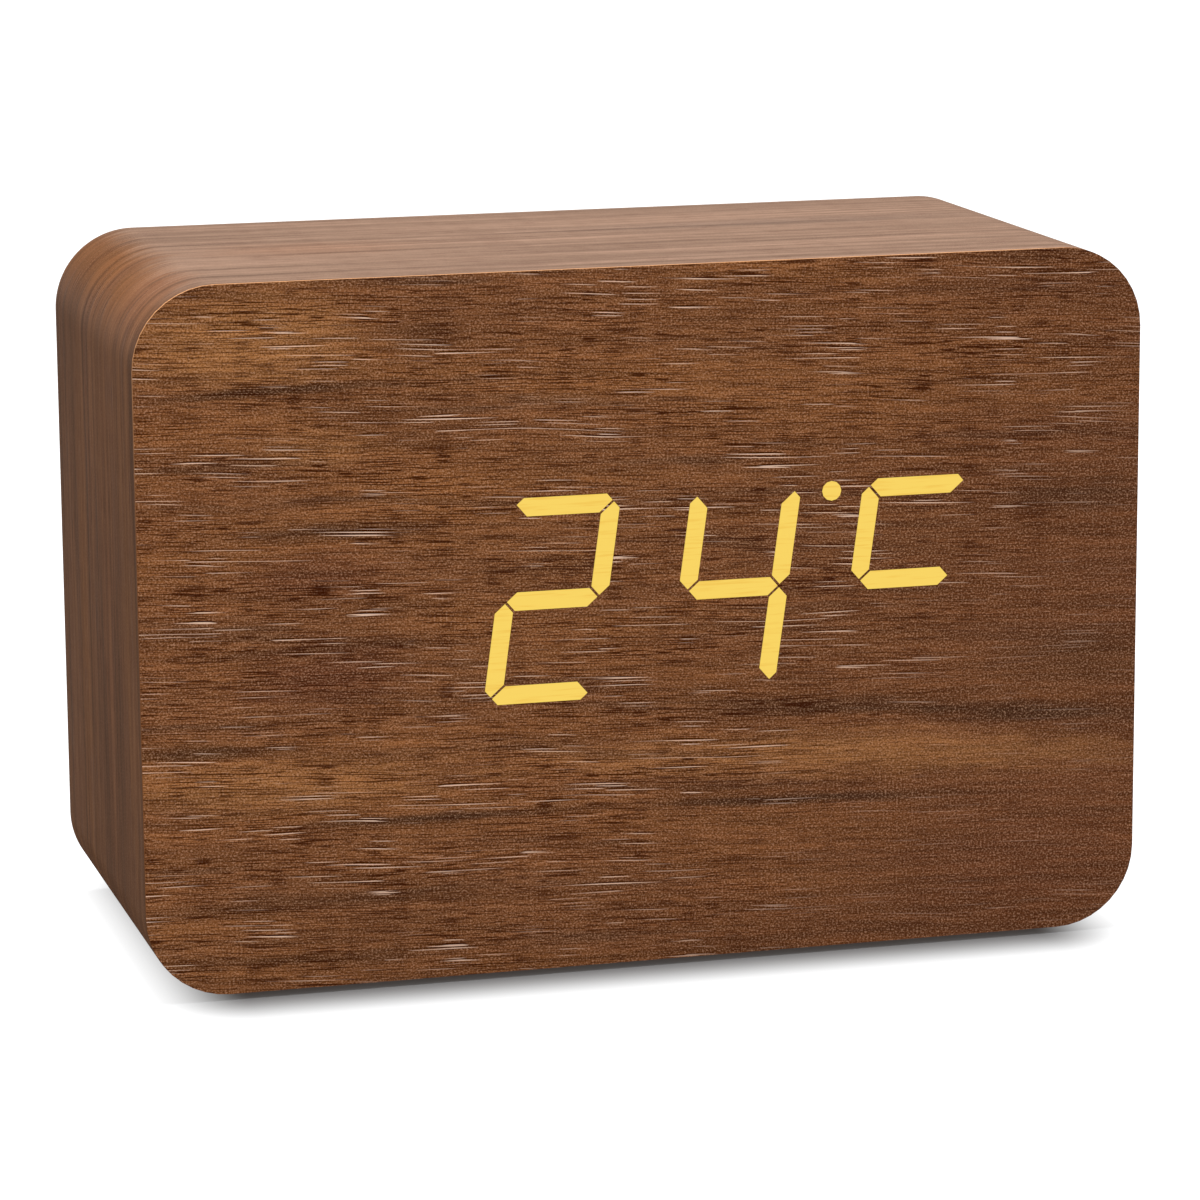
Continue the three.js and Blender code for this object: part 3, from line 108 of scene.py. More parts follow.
class Graph:
    """The shader nodes of a material or a world, added by calls that return sockets."""

    @cached_property
    def owner(self) -> bpy.types.Material | bpy.types.World:
        """What the nodes belong to, which each kind of graph makes in its own way."""
        raise NotImplementedError(type(self).__name__)

    @cached_property
    def tree(self) -> bpy.types.NodeTree:
        """The owner's nodes, none at first.

        Returns:
            The node tree.
        """
        self.owner.use_nodes = True
        self.owner.node_tree.nodes.clear()
        return self.owner.node_tree

    def add(self, kind: str, inputs: dict[Any, Any] | None = None, **options: Any) -> bpy.types.Node:
        """Adds one node.

        Args:
            kind: The node's type without its "ShaderNode" prefix.
            inputs: For each input's name or number, a socket to link or a value to set.
            **options: The node's own settings.

        Returns:
            The new node.
        """
        node = self.tree.nodes.new("ShaderNode" + kind)
        for option, value in options.items():
            setattr(node, option, value)
        for key, value in (inputs or {}).items():
            if isinstance(value, bpy.types.NodeSocket):
                self.tree.links.new(value, node.inputs[key])
            else:
                node.inputs[key].default_value = value
        return node

    def math(self, operation: str, *values: Any) -> Socket:
        """Works out one sum of sockets and numbers."""
        return self.add("Math", dict(enumerate(values)), operation=operation).outputs[0]

    def product(self, first: Any, second: Any) -> Socket:
        """Multiplies two sockets or numbers."""
        return self.math("MULTIPLY", first, second)

    def vector(self, operation: str, *values: Any) -> Socket:
        """Works out one sum of vectors."""
        node = self.add("VectorMath", dict(enumerate(values)), operation=operation)
        return node.outputs["Value" if operation == "LENGTH" else "Vector"]

    def step(self, value: Socket, low: float, high: float, peak: float = 1.0, base: float = 0.0,
             curve: str = "SMOOTHSTEP") -> Socket:
        """Runs from a base to a peak.

        Args:
            value: The socket that is read.
            low: The value where the result leaves its base.
            high: The value where it reaches its peak, below low for a falling step.
            peak: The result at high and beyond.
            base: The result at low and before.
            curve: The Map Range node's interpolation.

        Returns:
            The result's socket.
        """
        inputs = {"Value": value, "From Min": low, "From Max": high, "To Min": base,
                  "To Max": peak}
        return self.add("MapRange", inputs, interpolation_type=curve).outputs["Result"]

    def millimetres(self) -> Socket:
        """The point on the object in millimetres."""
        point = self.add("TexCoord").outputs["Object"]
        return self.add("Mapping", {"Vector": point, "Scale": (PER_METRE,) * 3}).outputs[0]

    def axes(self, vector: Socket) -> tuple[Socket, Socket, Socket]:
        """Splits a vector into its three numbers."""
        parts = self.add("SeparateXYZ", {0: vector}).outputs
        return parts[0], parts[1], parts[2]

    def joined(self, x: Any, y: Any) -> Socket:
        """Joins two numbers or sockets to a vector with a third number of 0."""
        return self.add("CombineXYZ", {0: x, 1: y}).outputs[0]

    def noise(self, place: Socket, grain: Grain) -> Socket:
        """Smooth noise.

        Args:
            place: The place, in millimetres.
            grain: The noise's sizes.

        Returns:
            A socket from 0 to 1 with its mean at 0.5.
        """
        scale = tuple(1.0 / length for length in grain.size)
        mapped = self.add("Mapping", {"Vector": place, "Location": (grain.shift,) * 3,
                                      "Scale": scale})
        inputs = {"Vector": mapped.outputs[0], "Scale": 1.0, "Detail": grain.detail,
                  "Roughness": grain.roughness}
        return self.add("TexNoise", inputs).outputs["Fac"]

    def marks(self, place: Socket, grain: Grain) -> Socket:
        """How much of a grain's mark there is at a place."""
        return self.step(self.noise(place, grain), *grain.levels, grain.peak)

    def mix(self, tint: Any, *layers: tuple[Any, Any], mode: str = "MIX") -> Socket:
        """Lays colours over a tint.

        Args:
            tint: The lowest colour or its socket.
            *layers: Each layer's share, from 0 to 1, and its colour.
            mode: The Mix node's blend type.

        Returns:
            The mixed colour's socket.
        """
        for share, colour in layers:
            tint = self.add("Mix", {0: share, 6: tint, 7: colour}, data_type="RGBA",
                            blend_type=mode).outputs[2]
        return tint

    def bump(self, height: Socket, depth_mm: float) -> Socket:
        """Turns a height from 0 to 1 into a normal, for a relief of that depth."""
        return self.add("Bump", {"Height": height, "Distance": depth_mm * MM}).outputs[0]

    def surface(self, inputs: dict[str, Any]) -> None:
        """Ends the graph in one Principled surface with these inputs, by name."""
        shader = self.add("BsdfPrincipled", inputs)
        self.add("OutputMaterial", {"Surface": shader.outputs[0]})

    def seen_directly(self) -> Socket:
        """The share of rays that show the white surroundings: camera, glossy and transmitted.

        Returns:
            The share, 0 or 1.
        """
        path = self.add("LightPath").outputs
        mirrored = self.math("MAXIMUM", path["Is Glossy Ray"], path["Is Transmission Ray"])
        return self.math("MAXIMUM", path["Is Camera Ray"], mirrored)


@dataclass(frozen=True)
class Look(Graph):
    """A finish, which paints a material of its own."""

    name: str

    @cached_property
    def owner(self) -> bpy.types.Material:
        """The new material."""
        return bpy.data.materials.new(self.name)

    def paint(self) -> None:
        """Adds the nodes, in each finish's own way."""
        raise NotImplementedError(self.name)

    def make(self) -> bpy.types.Material:
        """Paints the material and hands it out."""
        self.paint()
        return self.owner


@dataclass(frozen=True)
class Moulding(Look):
    """A solid-coloured finish with a fine grain in its tint, gloss and relief.

    Two tints are mixed by noise of grain_mm, roughness swings by a little round its mean, and the
    relief follows a finer noise of relief_mm.
    """

    tint: Colour
    second: Colour
    grain_mm: Triple = (2.0, 2.0, 2.0)
    roughness: float = 0.5
    swing: float = 0.06
    metallic: float = 0.0
    relief_mm: float = 0.18
    depth_mm: float = 0.01
    tint_levels: Span = (0.3, 0.7)

    def paint(self) -> None:
        """Adds the nodes."""
        place = self.millimetres()
        blots = self.noise(place, Grain(self.grain_mm, 3.0, 0.6))
        fine = self.noise(place, Grain((self.relief_mm,) * 3, 1.0, 0.5, 3.0))
        share = self.step(blots, *self.tint_levels)
        gloss = self.math("MULTIPLY_ADD", blots, 2 * self.swing, self.roughness - self.swing)
        self.surface({
            "Base Color": self.mix(self.tint, (share, self.second)), "Metallic": self.metallic,
            "Roughness": gloss, "Normal": self.bump(fine, self.depth_mm)})


@dataclass(frozen=True)
class Smudge:
    """A soft spot of a print.

    Its middle lies along and across the grain, counted as the print counts them. Its half
    lengths lie along its own tilted axes, and all of them are millimetres.
    """

    along: float
    across: float
    half_length: float
    half_height: float
    tilt_deg: float
    tint: Colour
    strength: float


@dataclass(frozen=True)
class WalnutPrint(Look):
    """Wood-look print: soft bands, smudges, a fine speckle, short dark fibres, pale scratches.

    The pattern reads a flat place in millimetres with the grain along its first number. Each
    smudge's row gives the fields of a Smudge.
    """

    base: Colour
    warm: Colour
    smoky: Colour
    fibre_strength: float
    scratch_strength: float
    speckle: float
    roughness: float
    streaks: Grain
    streak_depth: float
    smudges: tuple[tuple[Any, ...], ...]
    sheen: float = 0.0
    specular: float = 0.0
    fibre: Colour = screen(54, 14, 0)
    scratch: Colour = screen(248, 210, 184)
    spot: Colour = screen(220, 172, 138)
    sway: Grain = Grain((18.0, 5.0, 5.0), 1.0, 0.4, 21.0)
    sway_mm: float = 0.8
    wide_bands: Grain = Grain((60.0, 9.0, 9.0), 3.0, 0.55, 11.0, (0.42, 0.68))
    narrow_bands: Grain = Grain((28.0, 1.9, 2.0), 4.0, 0.6, 5.0, (0.52, 0.72), 0.55)
    pale_levels: Span = (0.48, 0.3)
    pale_share: float = 0.4
    frays: Grain = Grain((6.0, 1.0, 1.0), 3.0, 0.65, 51.0)
    smudge_reach: Span = (1.5, 0.6)
    specks: Grain = Grain((0.2, 0.17, 1.0), 1.0, 0.7, 41.0, (0.5, 0.32))
    pale_speck_levels: Span = (0.5, 0.7)
    pale_speck_share: float = 0.7
    fibres: Grain = Grain((2.4, 0.11, 1.0), 0.0, 0.5, 2.0, (0.56, 0.68))
    long_fibres: Grain = Grain((6.0, 0.13, 1.0), 0.0, 0.5, 7.0, (0.58, 0.68))
    fibre_groups: Grain = Grain((15.0, 3.0, 1.0), 2.0, 0.5, 13.0, (0.35, 0.6))
    lone_fibres: float = 0.55
    scratch_groups: Grain = Grain((12.0, 4.0, 1.0), 1.0, 0.5, 17.0, (0.46, 0.58))
    ridges: Grain = Grain((8.0, 0.15, 1.0), 0.0, 0.4, 31.0, (0.7, 0.735))
    shade_below_mm: float = 0.15
    fibre_relief: float = 0.6
    relief_mm: float = 0.012

    def flat_place(self) -> tuple[Socket, Socket]:
        """Says where a point lies on the print.

        Returns:
            The place along the grain and across it, in millimetres.
        """
        unrolled = self.add("UVMap", uv_map=WoodWrap.PRINT_MAP).outputs[0]
        along, across, _ = self.axes(unrolled)
        return self.product(along, PER_METRE), self.product(across, PER_METRE)

    def ground(self, place: Socket) -> Socket:
        """Mixes the soft bands under the fibres.

        Args:
            place: The flat place.

        Returns:
            The colour's socket.
        """
        narrow, bands = self.noise(place, self.narrow_bands), self.narrow_bands
        return self.mix(self.base, (self.marks(place, self.wide_bands), self.warm),
                        (self.step(narrow, *bands.levels, bands.peak), self.smoky),
                        (self.step(narrow, *self.pale_levels, self.pale_share), self.warm))

    def smudged(self, place: Socket, tint: Socket) -> Socket:
        """Lays the smudges over the bands.

        Each one falls off with the length of the offset from its middle, turned to its tilt and
        divided by its half lengths, and noise frays its outline.

        Args:
            place: The flat place.
            tint: The bands' colour.

        Returns:
            The colour with the smudges.
        """
        frays = self.noise(place, self.frays)
        for smudge in (Smudge(*row) for row in self.smudges):
            offset = self.add("Mapping", {
                "Vector": place, "Location": (smudge.along, smudge.across, 0.0),
                "Rotation": (0.0, 0.0, math.radians(smudge.tilt_deg)),
                "Scale": (smudge.half_length, smudge.half_height, 1.0)}, vector_type="TEXTURE")
            reach = self.math("ADD", self.vector("LENGTH", offset.outputs[0]), frays)
            share = self.step(reach, *self.smudge_reach, smudge.strength)
            tint = self.mix(tint, (share, smudge.tint))
        return tint

    def streaked(self, place: Socket, tint: Socket) -> Socket:
        """Lightens and darkens a tint in fine streaks along the grain.

        Args:
            place: The flat place.
            tint: The colour under the streaks.

        Returns:
            The streaked colour.
        """
        level = self.step(self.noise(place, self.streaks), *self.streaks.levels,
                          1.0 + self.streak_depth, 1.0 - self.streak_depth, "LINEAR")
        shaded = self.add("CombineColor", {0: level, 1: level, 2: level}).outputs[0]
        return self.mix(tint, (1.0, shaded), mode="MULTIPLY")

    def fibrous(self, place: Socket) -> Socket:
        """How much of a dark fibre there is, more where the fibres stand in groups.

        Args:
            place: The flat place.

        Returns:
            The share from 0 to 1.
        """
        dark = self.math("MAXIMUM", self.marks(place, self.fibres),
                         self.marks(place, self.long_fibres))
        groups = self.noise(place, self.fibre_groups)
        return self.product(dark, self.step(groups, *self.fibre_groups.levels, 1.0,
                                            self.lone_fibres, "LINEAR"))

    def kept(self, along: Socket, across: Socket) -> Socket | float:
        """The share of the fibres' contrast that a place keeps."""
        return 1.0

    def trimmed(self, tint: Socket) -> Socket:
        """The print's colour with its cut edge, which a plain print hasn't."""
        return tint

    def paint(self) -> None:
        """Adds the nodes, from the bands up to the scratches, each with a thin shade below it."""
        along, across = self.flat_place()
        sway = self.math("SUBTRACT", self.noise(self.joined(along, across), self.sway), 0.5)
        place = self.joined(along, self.math("MULTIPLY_ADD", sway, self.sway_mm, across))
        specks = self.noise(place, self.specks)
        keep = self.kept(along, across)
        dark = self.product(self.fibrous(place), keep)
        chosen = self.product(self.product(self.marks(place, self.scratch_groups), keep), keep)
        above = self.vector("ADD", place, (0.0, -self.shade_below_mm, 0.0))
        shade = self.product(self.marks(above, self.ridges), chosen)
        pale = self.product(self.marks(place, self.ridges), chosen)
        tint = self.mix(
            self.streaked(place, self.smudged(place, self.ground(place))),
            (self.step(specks, *self.specks.levels, self.speckle), self.fibre),
            (self.step(specks, *self.pale_speck_levels, self.speckle * self.pale_speck_share),
             self.spot),
            (self.product(dark, self.fibre_strength), self.fibre), (shade, self.fibre),
            (self.product(pale, self.scratch_strength), self.scratch))
        relief = self.math("SUBTRACT", specks, self.product(dark, self.fibre_relief))
        self.surface({
            "Base Color": self.trimmed(tint), "Roughness": self.roughness,
            "Specular IOR Level": self.specular, "Sheen Weight": self.sheen,
            "Normal": self.bump(relief, self.relief_mm)})


@dataclass(frozen=True)
class WrapPrint(WalnutPrint):
    """The print of the wrap: streaks along the outline, with a paler, greyer painted sheen over the
    top.
    """

    # painted sheen: the top is paler and greyer for the light that it catches
    top_sheen_tint: Colour = screen(127, 102, 86)
    top_mm: Span = (66.0, 69.0)
    rear_mm: Span = (45.4, 44.4)

    def ground(self, place: Socket) -> Socket:
        """Fades the bands to a paler, greyer painted sheen over the top.

        Args:
            place: The flat place.

        Returns:
            The colour's socket.
        """
        _, across, _ = self.axes(place)
        _, _, height = self.axes(self.millimetres())
        # painted sheen over the top, short of the fold at the rear
        over = self.product(self.step(height, *self.top_mm), self.step(across, *self.rear_mm))
        return self.mix(super().ground(place), (over, self.top_sheen_tint))


@dataclass(frozen=True)
class Lean:
    """A share that rises to its peak with the way along minus drop times the way across."""

    drop: float
    levels: Span
    peak: float


@dataclass(frozen=True)
class FacePrint(WalnutPrint):
    """The front film's print: calmer to the right and below, with a painted highlight on its cut
    edge.
    """

    deep: Colour = screen(102, 60, 37)
    deepened: Lean = Lean(0.5, (-40.0, 45.0), 0.75)
    calmed: Lean = Lean(0.8, (-15.0, 20.0), 0.55)
    # pale painted highlight on the cut edge, which fades towards the bottom and the right
    edge: Colour = screen(205, 150, 105)
    edge_y: Span = (-22.49, -22.48)
    highlight_fade_z: Span = (40.0, 64.0)
    highlight_fade_x: Span = (46.0, 38.0)
    sink: float = 0.045

    def flat_place(self) -> tuple[Socket, Socket]:
        """The place on the front: X along the grain, which sinks a little to the right."""
        x, _, z = self.axes(self.millimetres())
        return x, self.math("ADD", z, self.product(x, self.sink))

    def leaning(self, lean: Lean, along: Socket, across: Socket) -> Socket:
        """A lean's share, which rises to the right and the bottom."""
        slope = self.math("SUBTRACT", along, self.product(across, lean.drop))
        return self.product(self.step(slope, *lean.levels), lean.peak)

    def ground(self, place: Socket) -> Socket:
        """Deepens the bands."""
        along, across, _ = self.axes(place)
        return self.mix(super().ground(place),
                        (self.leaning(self.deepened, along, across), self.deep))

    def kept(self, along: Socket, across: Socket) -> Socket:
        """Takes contrast away."""
        return self.math("SUBTRACT", 1.0, self.leaning(self.calmed, along, across))

    def trimmed(self, tint: Socket) -> Socket:
        """Paints the thickness of the film behind its face, with a painted highlight.

        Args:
            tint: The print's colour.

        Returns:
            The colour with the cut edge and its painted highlight.
        """
        x, depth, height = self.axes(self.millimetres())
        # painted highlight: the cut edge is paler high up and to the left
        lit = self.product(self.step(height, *self.highlight_fade_z), self.step(x, *self.highlight_fade_x))
        cut = self.mix(self.base, (lit, self.edge))
        return self.mix(tint, (self.step(depth, *self.edge_y), cut))


@dataclass(frozen=True)
class LitResin(Look):
    """Cast resin that glows where it reaches the front face, with the grain faintly across it."""

    glow: Colour = screen(246, 209, 90)
    shade: Colour = screen(238, 190, 70)
    body: Colour = screen(196, 178, 132)
    front_y: Span = (-22.45, -22.48)
    lines: Grain = Grain((4.0, 4.0, 0.22), levels=(0.5, 0.75), peak=0.7)

    def paint(self) -> None:
        """Adds the nodes."""
        place = self.millimetres()
        front = self.step(self.axes(place)[1], *self.front_y)
        glow = self.mix(self.glow, (self.marks(place, self.lines), self.shade))
        self.surface({
            "Base Color": self.mix(self.body, (front, grey(0.01))), "Roughness": 0.6,
            "Specular IOR Level": 0.2, "Emission Color": glow, "Emission Strength": front})


@dataclass(frozen=True)
class CircuitFilm(Look):
    """Lacquered circuit board: a weave under the lacquer and fine copper tracks along X and Z."""

    lacquer: Colour = screen(28, 92, 52)
    track: Colour = screen(52, 124, 66)
    weft: Colour = screen(18, 66, 38)
    track_width: float = 0.09
    track_length: float = 5.2
    track_pitch: float = 1.1
    track_relief: float = 0.02
    weave: Grain = Grain((0.4, 0.4, 0.4), 1.0, levels=(0.3, 0.8), peak=0.25)

    def paint(self) -> None:
        """Adds the nodes."""
        x, _, z = self.axes(self.millimetres())
        flat = self.joined(x, z)
        tracks = self.add("TexBrick", {
            "Vector": flat, "Scale": 1.0, "Mortar Size": self.track_width, "Mortar Smooth": 0.2,
            "Brick Width": self.track_length, "Row Height": self.track_pitch,
            "Color1": grey(0.0), "Color2": grey(0.0), "Mortar": grey(1.0)}).outputs["Fac"]
        tint = self.mix(self.lacquer, (tracks, self.track),
                        (self.marks(flat, self.weave), self.weft))
        self.surface({"Base Color": tint, "Roughness": 0.35,
                      "Normal": self.bump(tracks, self.track_relief)})


@dataclass(frozen=True)
class Stripes(Look):
    """Fine parallel lines along one axis, as wound wire or the cores of a flat cable, with painted
    shade in the grooves.
    """

    tint: Colour
    groove_shade_and_blots: Colour
    axis: int
    pitch_mm: float
    roughness: float
    metallic: float
    # painted shade fills the grooves; the same darker tint also makes faint blots of tone
    groove_shade_levels: Span = (0.35, 0.0)
    blots: Grain = Grain((3.0, 3.0, 3.0), levels=(0.4, 0.8), peak=0.3)

    def paint(self) -> None:
        """Adds the nodes, with the sine of the place over the pitch as the relief, and painted shade
        in its valleys.
        """
        place = self.millimetres()
        turns = self.product(self.axes(place)[self.axis], 2 * math.pi / self.pitch_mm)
        ridge = self.math("MULTIPLY_ADD", self.math("SINE", turns), 0.5, 0.5)
        tint = self.mix(self.tint, (self.step(ridge, *self.groove_shade_levels), self.groove_shade_and_blots),
                        (self.marks(place, self.blots), self.groove_shade_and_blots))
        self.surface({
            "Base Color": tint, "Roughness": self.roughness, "Metallic": self.metallic,
            "Normal": self.bump(ridge, self.pitch_mm / 4)})


@dataclass(frozen=True)
class CellSleeve(Look):
    """The printed sleeve of a cell: a band of copper at its nub end, bare metal at both ends.

    The shares are of the way from the cell's base to its nub.
    """

    nub_x: float
    base_x: float
    sleeve: Colour = screen(34, 52, 84)
    band: Colour = screen(176, 116, 62)
    metal: Colour = screen(196, 194, 190)
    band_shares: Span = (0.717, 0.72)
    base_end_shares: Span = (0.015, 0.008)
    nub_end_shares: Span = (0.97, 1 - 0.03 / 1.3)
    blots: Grain = Grain((5.0, 2.0, 2.0), levels=(0.3, 0.8), peak=0.15)
    band_metal: float = 0.7

    def paint(self) -> None:
        """Adds the nodes."""
        place = self.millimetres()
        way = self.math("SUBTRACT", self.axes(place)[0], self.base_x)
        share = self.math("DIVIDE", way, self.nub_x - self.base_x)
        banded = self.step(share, *self.band_shares)
        bare = self.math("MAXIMUM", self.step(share, *self.base_end_shares),
                         self.step(share, *self.nub_end_shares))
        tint = self.mix(self.sleeve, (banded, self.band), (bare, self.metal),
                        (self.marks(place, self.blots), grey(0.02)))
        metallic = self.math("MAXIMUM", bare, self.product(banded, self.band_metal))
        self.surface({"Base Color": tint, "Roughness": 0.32, "Metallic": metallic})


@dataclass(frozen=True)
class FloorWhite(Look):
    """White that is darker to the light that it bounces at the clock, with a shade under it.

    The shade fades with the length of the way out of a core, which is the larger of zero and the
    place's size minus the core's, along each axis.
    """

    level: float = 0.35
    tint: Colour = (0.19, 0.195, 0.2, 1.0)
    shade_tint: Colour = (0.045, 0.038, 0.034, 1.0)
    core_mm: Triple = (40.0, 22.0, 0.0)
    reach_mm: Span = (0.0, 10.5)

    def paint(self) -> None:
        """Adds the nodes."""
        seen = self.seen_directly()
        beyond = self.vector("SUBTRACT", self.vector("ABSOLUTE", self.millimetres()),
                             self.core_mm)
        reach = self.vector("LENGTH", self.vector("MAXIMUM", beyond, (0.0, 0.0, 0.0)))
        shade = self.mix(self.shade_tint, (self.step(reach, *self.reach_mm), grey(1.0)))
        self.surface({
            "Base Color": self.mix(grey(self.level), (seen, self.tint)), "Roughness": 0.9,
            "Specular IOR Level": 0.0, "Emission Color": shade, "Emission Strength": seen})


@dataclass(frozen=True)
class Surroundings(Graph):
    """The world: white where it is seen, and a plain soft level where it only lights."""

    level: float = 0.5

    @cached_property
    def owner(self) -> bpy.types.World:
        """The new world."""
        return bpy.data.worlds.new("surroundings")

    def build(self) -> None:
        """Puts the world into the scene."""
        colour = self.mix(grey(self.level), (self.seen_directly(), grey(1.0)))
        sky = self.add("Background", {"Color": colour, "Strength": 1.0})
        self.add("OutputWorld", {"Surface": sky.outputs[0]})
        bpy.context.scene.world = self.owner


class Finish:
    """Every finish that more than one piece wears, made once and handed out by name."""

    def __init__(self) -> None:
        """Makes the materials."""
        even = (2.0, 2.0, 2.0)
        self.made = {look.name: look.make() for look in (
            Moulding("fibreboard", screen(150, 118, 80), screen(176, 144, 102), (0.7, 0.7, 0.3),
                     0.9, 0.04, 0.0, 0.3, 0.05),
            Moulding("black_moulding", screen(26, 26, 28), screen(34, 34, 36), (3.0, 3.0, 3.0),
                     0.55, 0.06, 0.0, 0.2, 0.025),
            Moulding("door_moulding", screen(24, 24, 26), screen(31, 31, 33), (4.0, 4.0, 4.0),
                     0.5, 0.06, 0.0, 0.2, 0.02),
            Moulding("key_plastic", screen(58, 59, 62), screen(68, 69, 72), even, 0.4, 0.05, 0.0,
                     0.25, 0.006),
            Moulding("gloss_black", screen(16, 16, 17), screen(24, 24, 25), even, 0.28, 0.05,
                     0.0, 0.3, 0.003),
            Moulding("reflector_plastic", screen(38, 38, 40), screen(48, 48, 50)),
            Moulding("epoxy_blob", screen(18, 18, 18), screen(30, 29, 28), (1.5, 1.5, 1.5), 0.22,
                     0.08),
            Moulding("steel", screen(176, 178, 182), screen(202, 203, 206), (0.5, 3.0, 0.5),
                     0.3, 0.08, 1.0, 0.12, 0.004),
            Moulding("nickel", screen(198, 192, 180), screen(216, 211, 200), (1.0, 1.0, 1.0),
                     0.28, 0.08, 1.0, 0.15, 0.004),
            Moulding("ferrite", screen(46, 45, 48), screen(66, 64, 66), (0.8, 0.5, 0.5), 0.7,
                     0.08, 0.0, 0.15, 0.02),
            Moulding("rubber", screen(27, 27, 27), screen(38, 37, 36), (1.0, 1.0, 0.5), 0.88,
                     0.04, 0.0, 0.14, 0.02),
            LitResin("lit_resin"), CircuitFilm("circuit_board"),
            # the second colour of each of these stripes is painted shade in the grooves, and also
            # makes faint blots
            Stripes("copper_winding", screen(190, 112, 58), screen(92, 46, 24), 0, 0.4, 0.35, 0.9),
            Stripes("flat_cable", screen(178, 176, 170), screen(120, 120, 124), 0, 1.27, 0.5, 0.0),
        )}

    def __getitem__(self, name: str) -> bpy.types.Material:
        """The material of that name."""
        return self.made[name]


def dress(piece: bpy.types.Object, material: bpy.types.Material) -> None:
    """Puts one material on a whole piece, in place of what it wore."""
    piece.data.materials.clear()
    piece.data.materials.append(material)


def mount(piece: bpy.types.Object, material: bpy.types.Material, body: str, slot: str,
          *nodes: str) -> None:
    """Dresses a new piece, gives it its body and hides the solids that it stands for.

    Args:
        piece: The finished piece.
        material: What it wears.
        body: The body that it rides on.
        slot: Not used.
        *nodes: The solids that it replaces.
    """
    dress(piece, material)
    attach(piece, body)
    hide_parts(*nodes)
    log.info("%s rides on %s", piece.name, body)


def linked(name: str, mesh: bpy.types.Mesh, smooth_below_deg: float) -> bpy.types.Object:
    """Puts a mesh into the scene at the origin.

    Args:
        name: The piece's name.
        mesh: Its mesh.
        smooth_below_deg: Edges that bend less than this are shaded smooth.

    Returns:
        The object.
    """
    mesh.shade_smooth()
    mesh.set_sharp_from_angle(angle=math.radians(smooth_below_deg))
    piece = bpy.data.objects.new(name, mesh)
    bpy.context.scene.collection.objects.link(piece)
    return piece


def meshed(name: str, points: np.ndarray, faces: list[tuple[int, ...]],
           smooth_below_deg: float) -> bpy.types.Object:
    """Makes a closed mesh object from arrays.

    Args:
        name: The piece's name.
        points: X, Y and Z of each corner in metres, in an array of any depth.
        faces: The corners' numbers of each face.
        smooth_below_deg: Edges that bend less than this are shaded smooth.

    Returns:
        The object.
    """
    mesh = bpy.data.meshes.new(name)
    mesh.from_pydata(points.reshape(-1, 3).tolist(), [], faces)
    shape = bmesh.new()
    shape.from_mesh(mesh)
    bmesh.ops.recalc_face_normals(shape, faces=shape.faces)
    shape.to_mesh(mesh)
    shape.free()
    return linked(name, mesh, smooth_below_deg)


def ring_faces(rings: int, around: int, closed_along: bool) -> list[tuple[int, ...]]:
    """Quads between neighbouring rings of a grid of corners.

    Args:
        rings: How many rings there are.
        around: How many corners each ring has; the last one joins the first.
        closed_along: Whether the last ring joins the first one too.

    Returns:
        The corners' numbers of each quad.
    """
    ring = np.arange(rings if closed_along else rings - 1)[:, None]
    step = np.arange(around)[None, :]
    after, beside = (ring + 1) % rings, (step + 1) % around
    corners = np.stack([ring * around + step, ring * around + beside,
                        after * around + beside, after * around + step], axis=-1)
    return [tuple(face) for face in corners.reshape(-1, 4).tolist()]


def skinned(name: str, rings: np.ndarray, smooth_below_deg: float) -> bpy.types.Object:
    """Joins rings of corners by quads and closes both ends with a flat face.

    Args:
        name: The piece's name.
        rings: The corners in metres, by ring, place round it, and axis.
        smooth_below_deg: Edges that bend less than this are shaded smooth.

    Returns:
        The object.
    """
    count, around = rings.shape[:2]
    last = (count - 1) * around
    faces = ring_faces(count, around, closed_along=False)
    faces += [tuple(range(around)), tuple(range(last, last + around))]
    return meshed(name, rings, faces, smooth_below_deg)


def way_along(points: np.ndarray) -> np.ndarray:
    """The length of a path up to each of its points."""
    steps = np.linalg.norm(np.diff(points, axis=0), axis=1)
    return np.concatenate([[0.0], np.cumsum(steps)])


def round_corners(reach: np.ndarray, radius: float, steps: int,
                  start: int) -> tuple[np.ndarray, np.ndarray]:
    """The outline of a rectangle with round corners about the origin.

    Each quarter's corners lie at its centre, plus or minus the reach along both axes, plus the
    radius times (cos a, sin a), which is also the outward direction there.

    Args:
        reach: How far the quarters' centres lie from the middle, along both axes.
        radius: The corners' radius.
        steps: How many pieces each quarter has.
        start: The quarter turn where the first quarter starts, 0 along the first axis.

    Returns:
        The places and the outward directions, one row for each corner.
    """
    quarter = (np.arange(4)[:, None] + start) * math.pi / 2
    angle = quarter + np.linspace(0, math.pi / 2, steps + 1)[None, :]
    out = np.stack([np.cos(angle), np.sin(angle)], axis=-1)
    middle = quarter + math.pi / 4
    sides = np.sign(np.stack([np.cos(middle), np.sin(middle)], axis=-1))
    return (sides * reach + radius * out).reshape(-1, 2), out.reshape(-1, 2)


class Axis(Enum):
    """The direction that a turned piece's axis has, with the two across it."""

    X = (0, 1, 2)
    Y = (1, 2, 0)
    Z = (2, 0, 1)


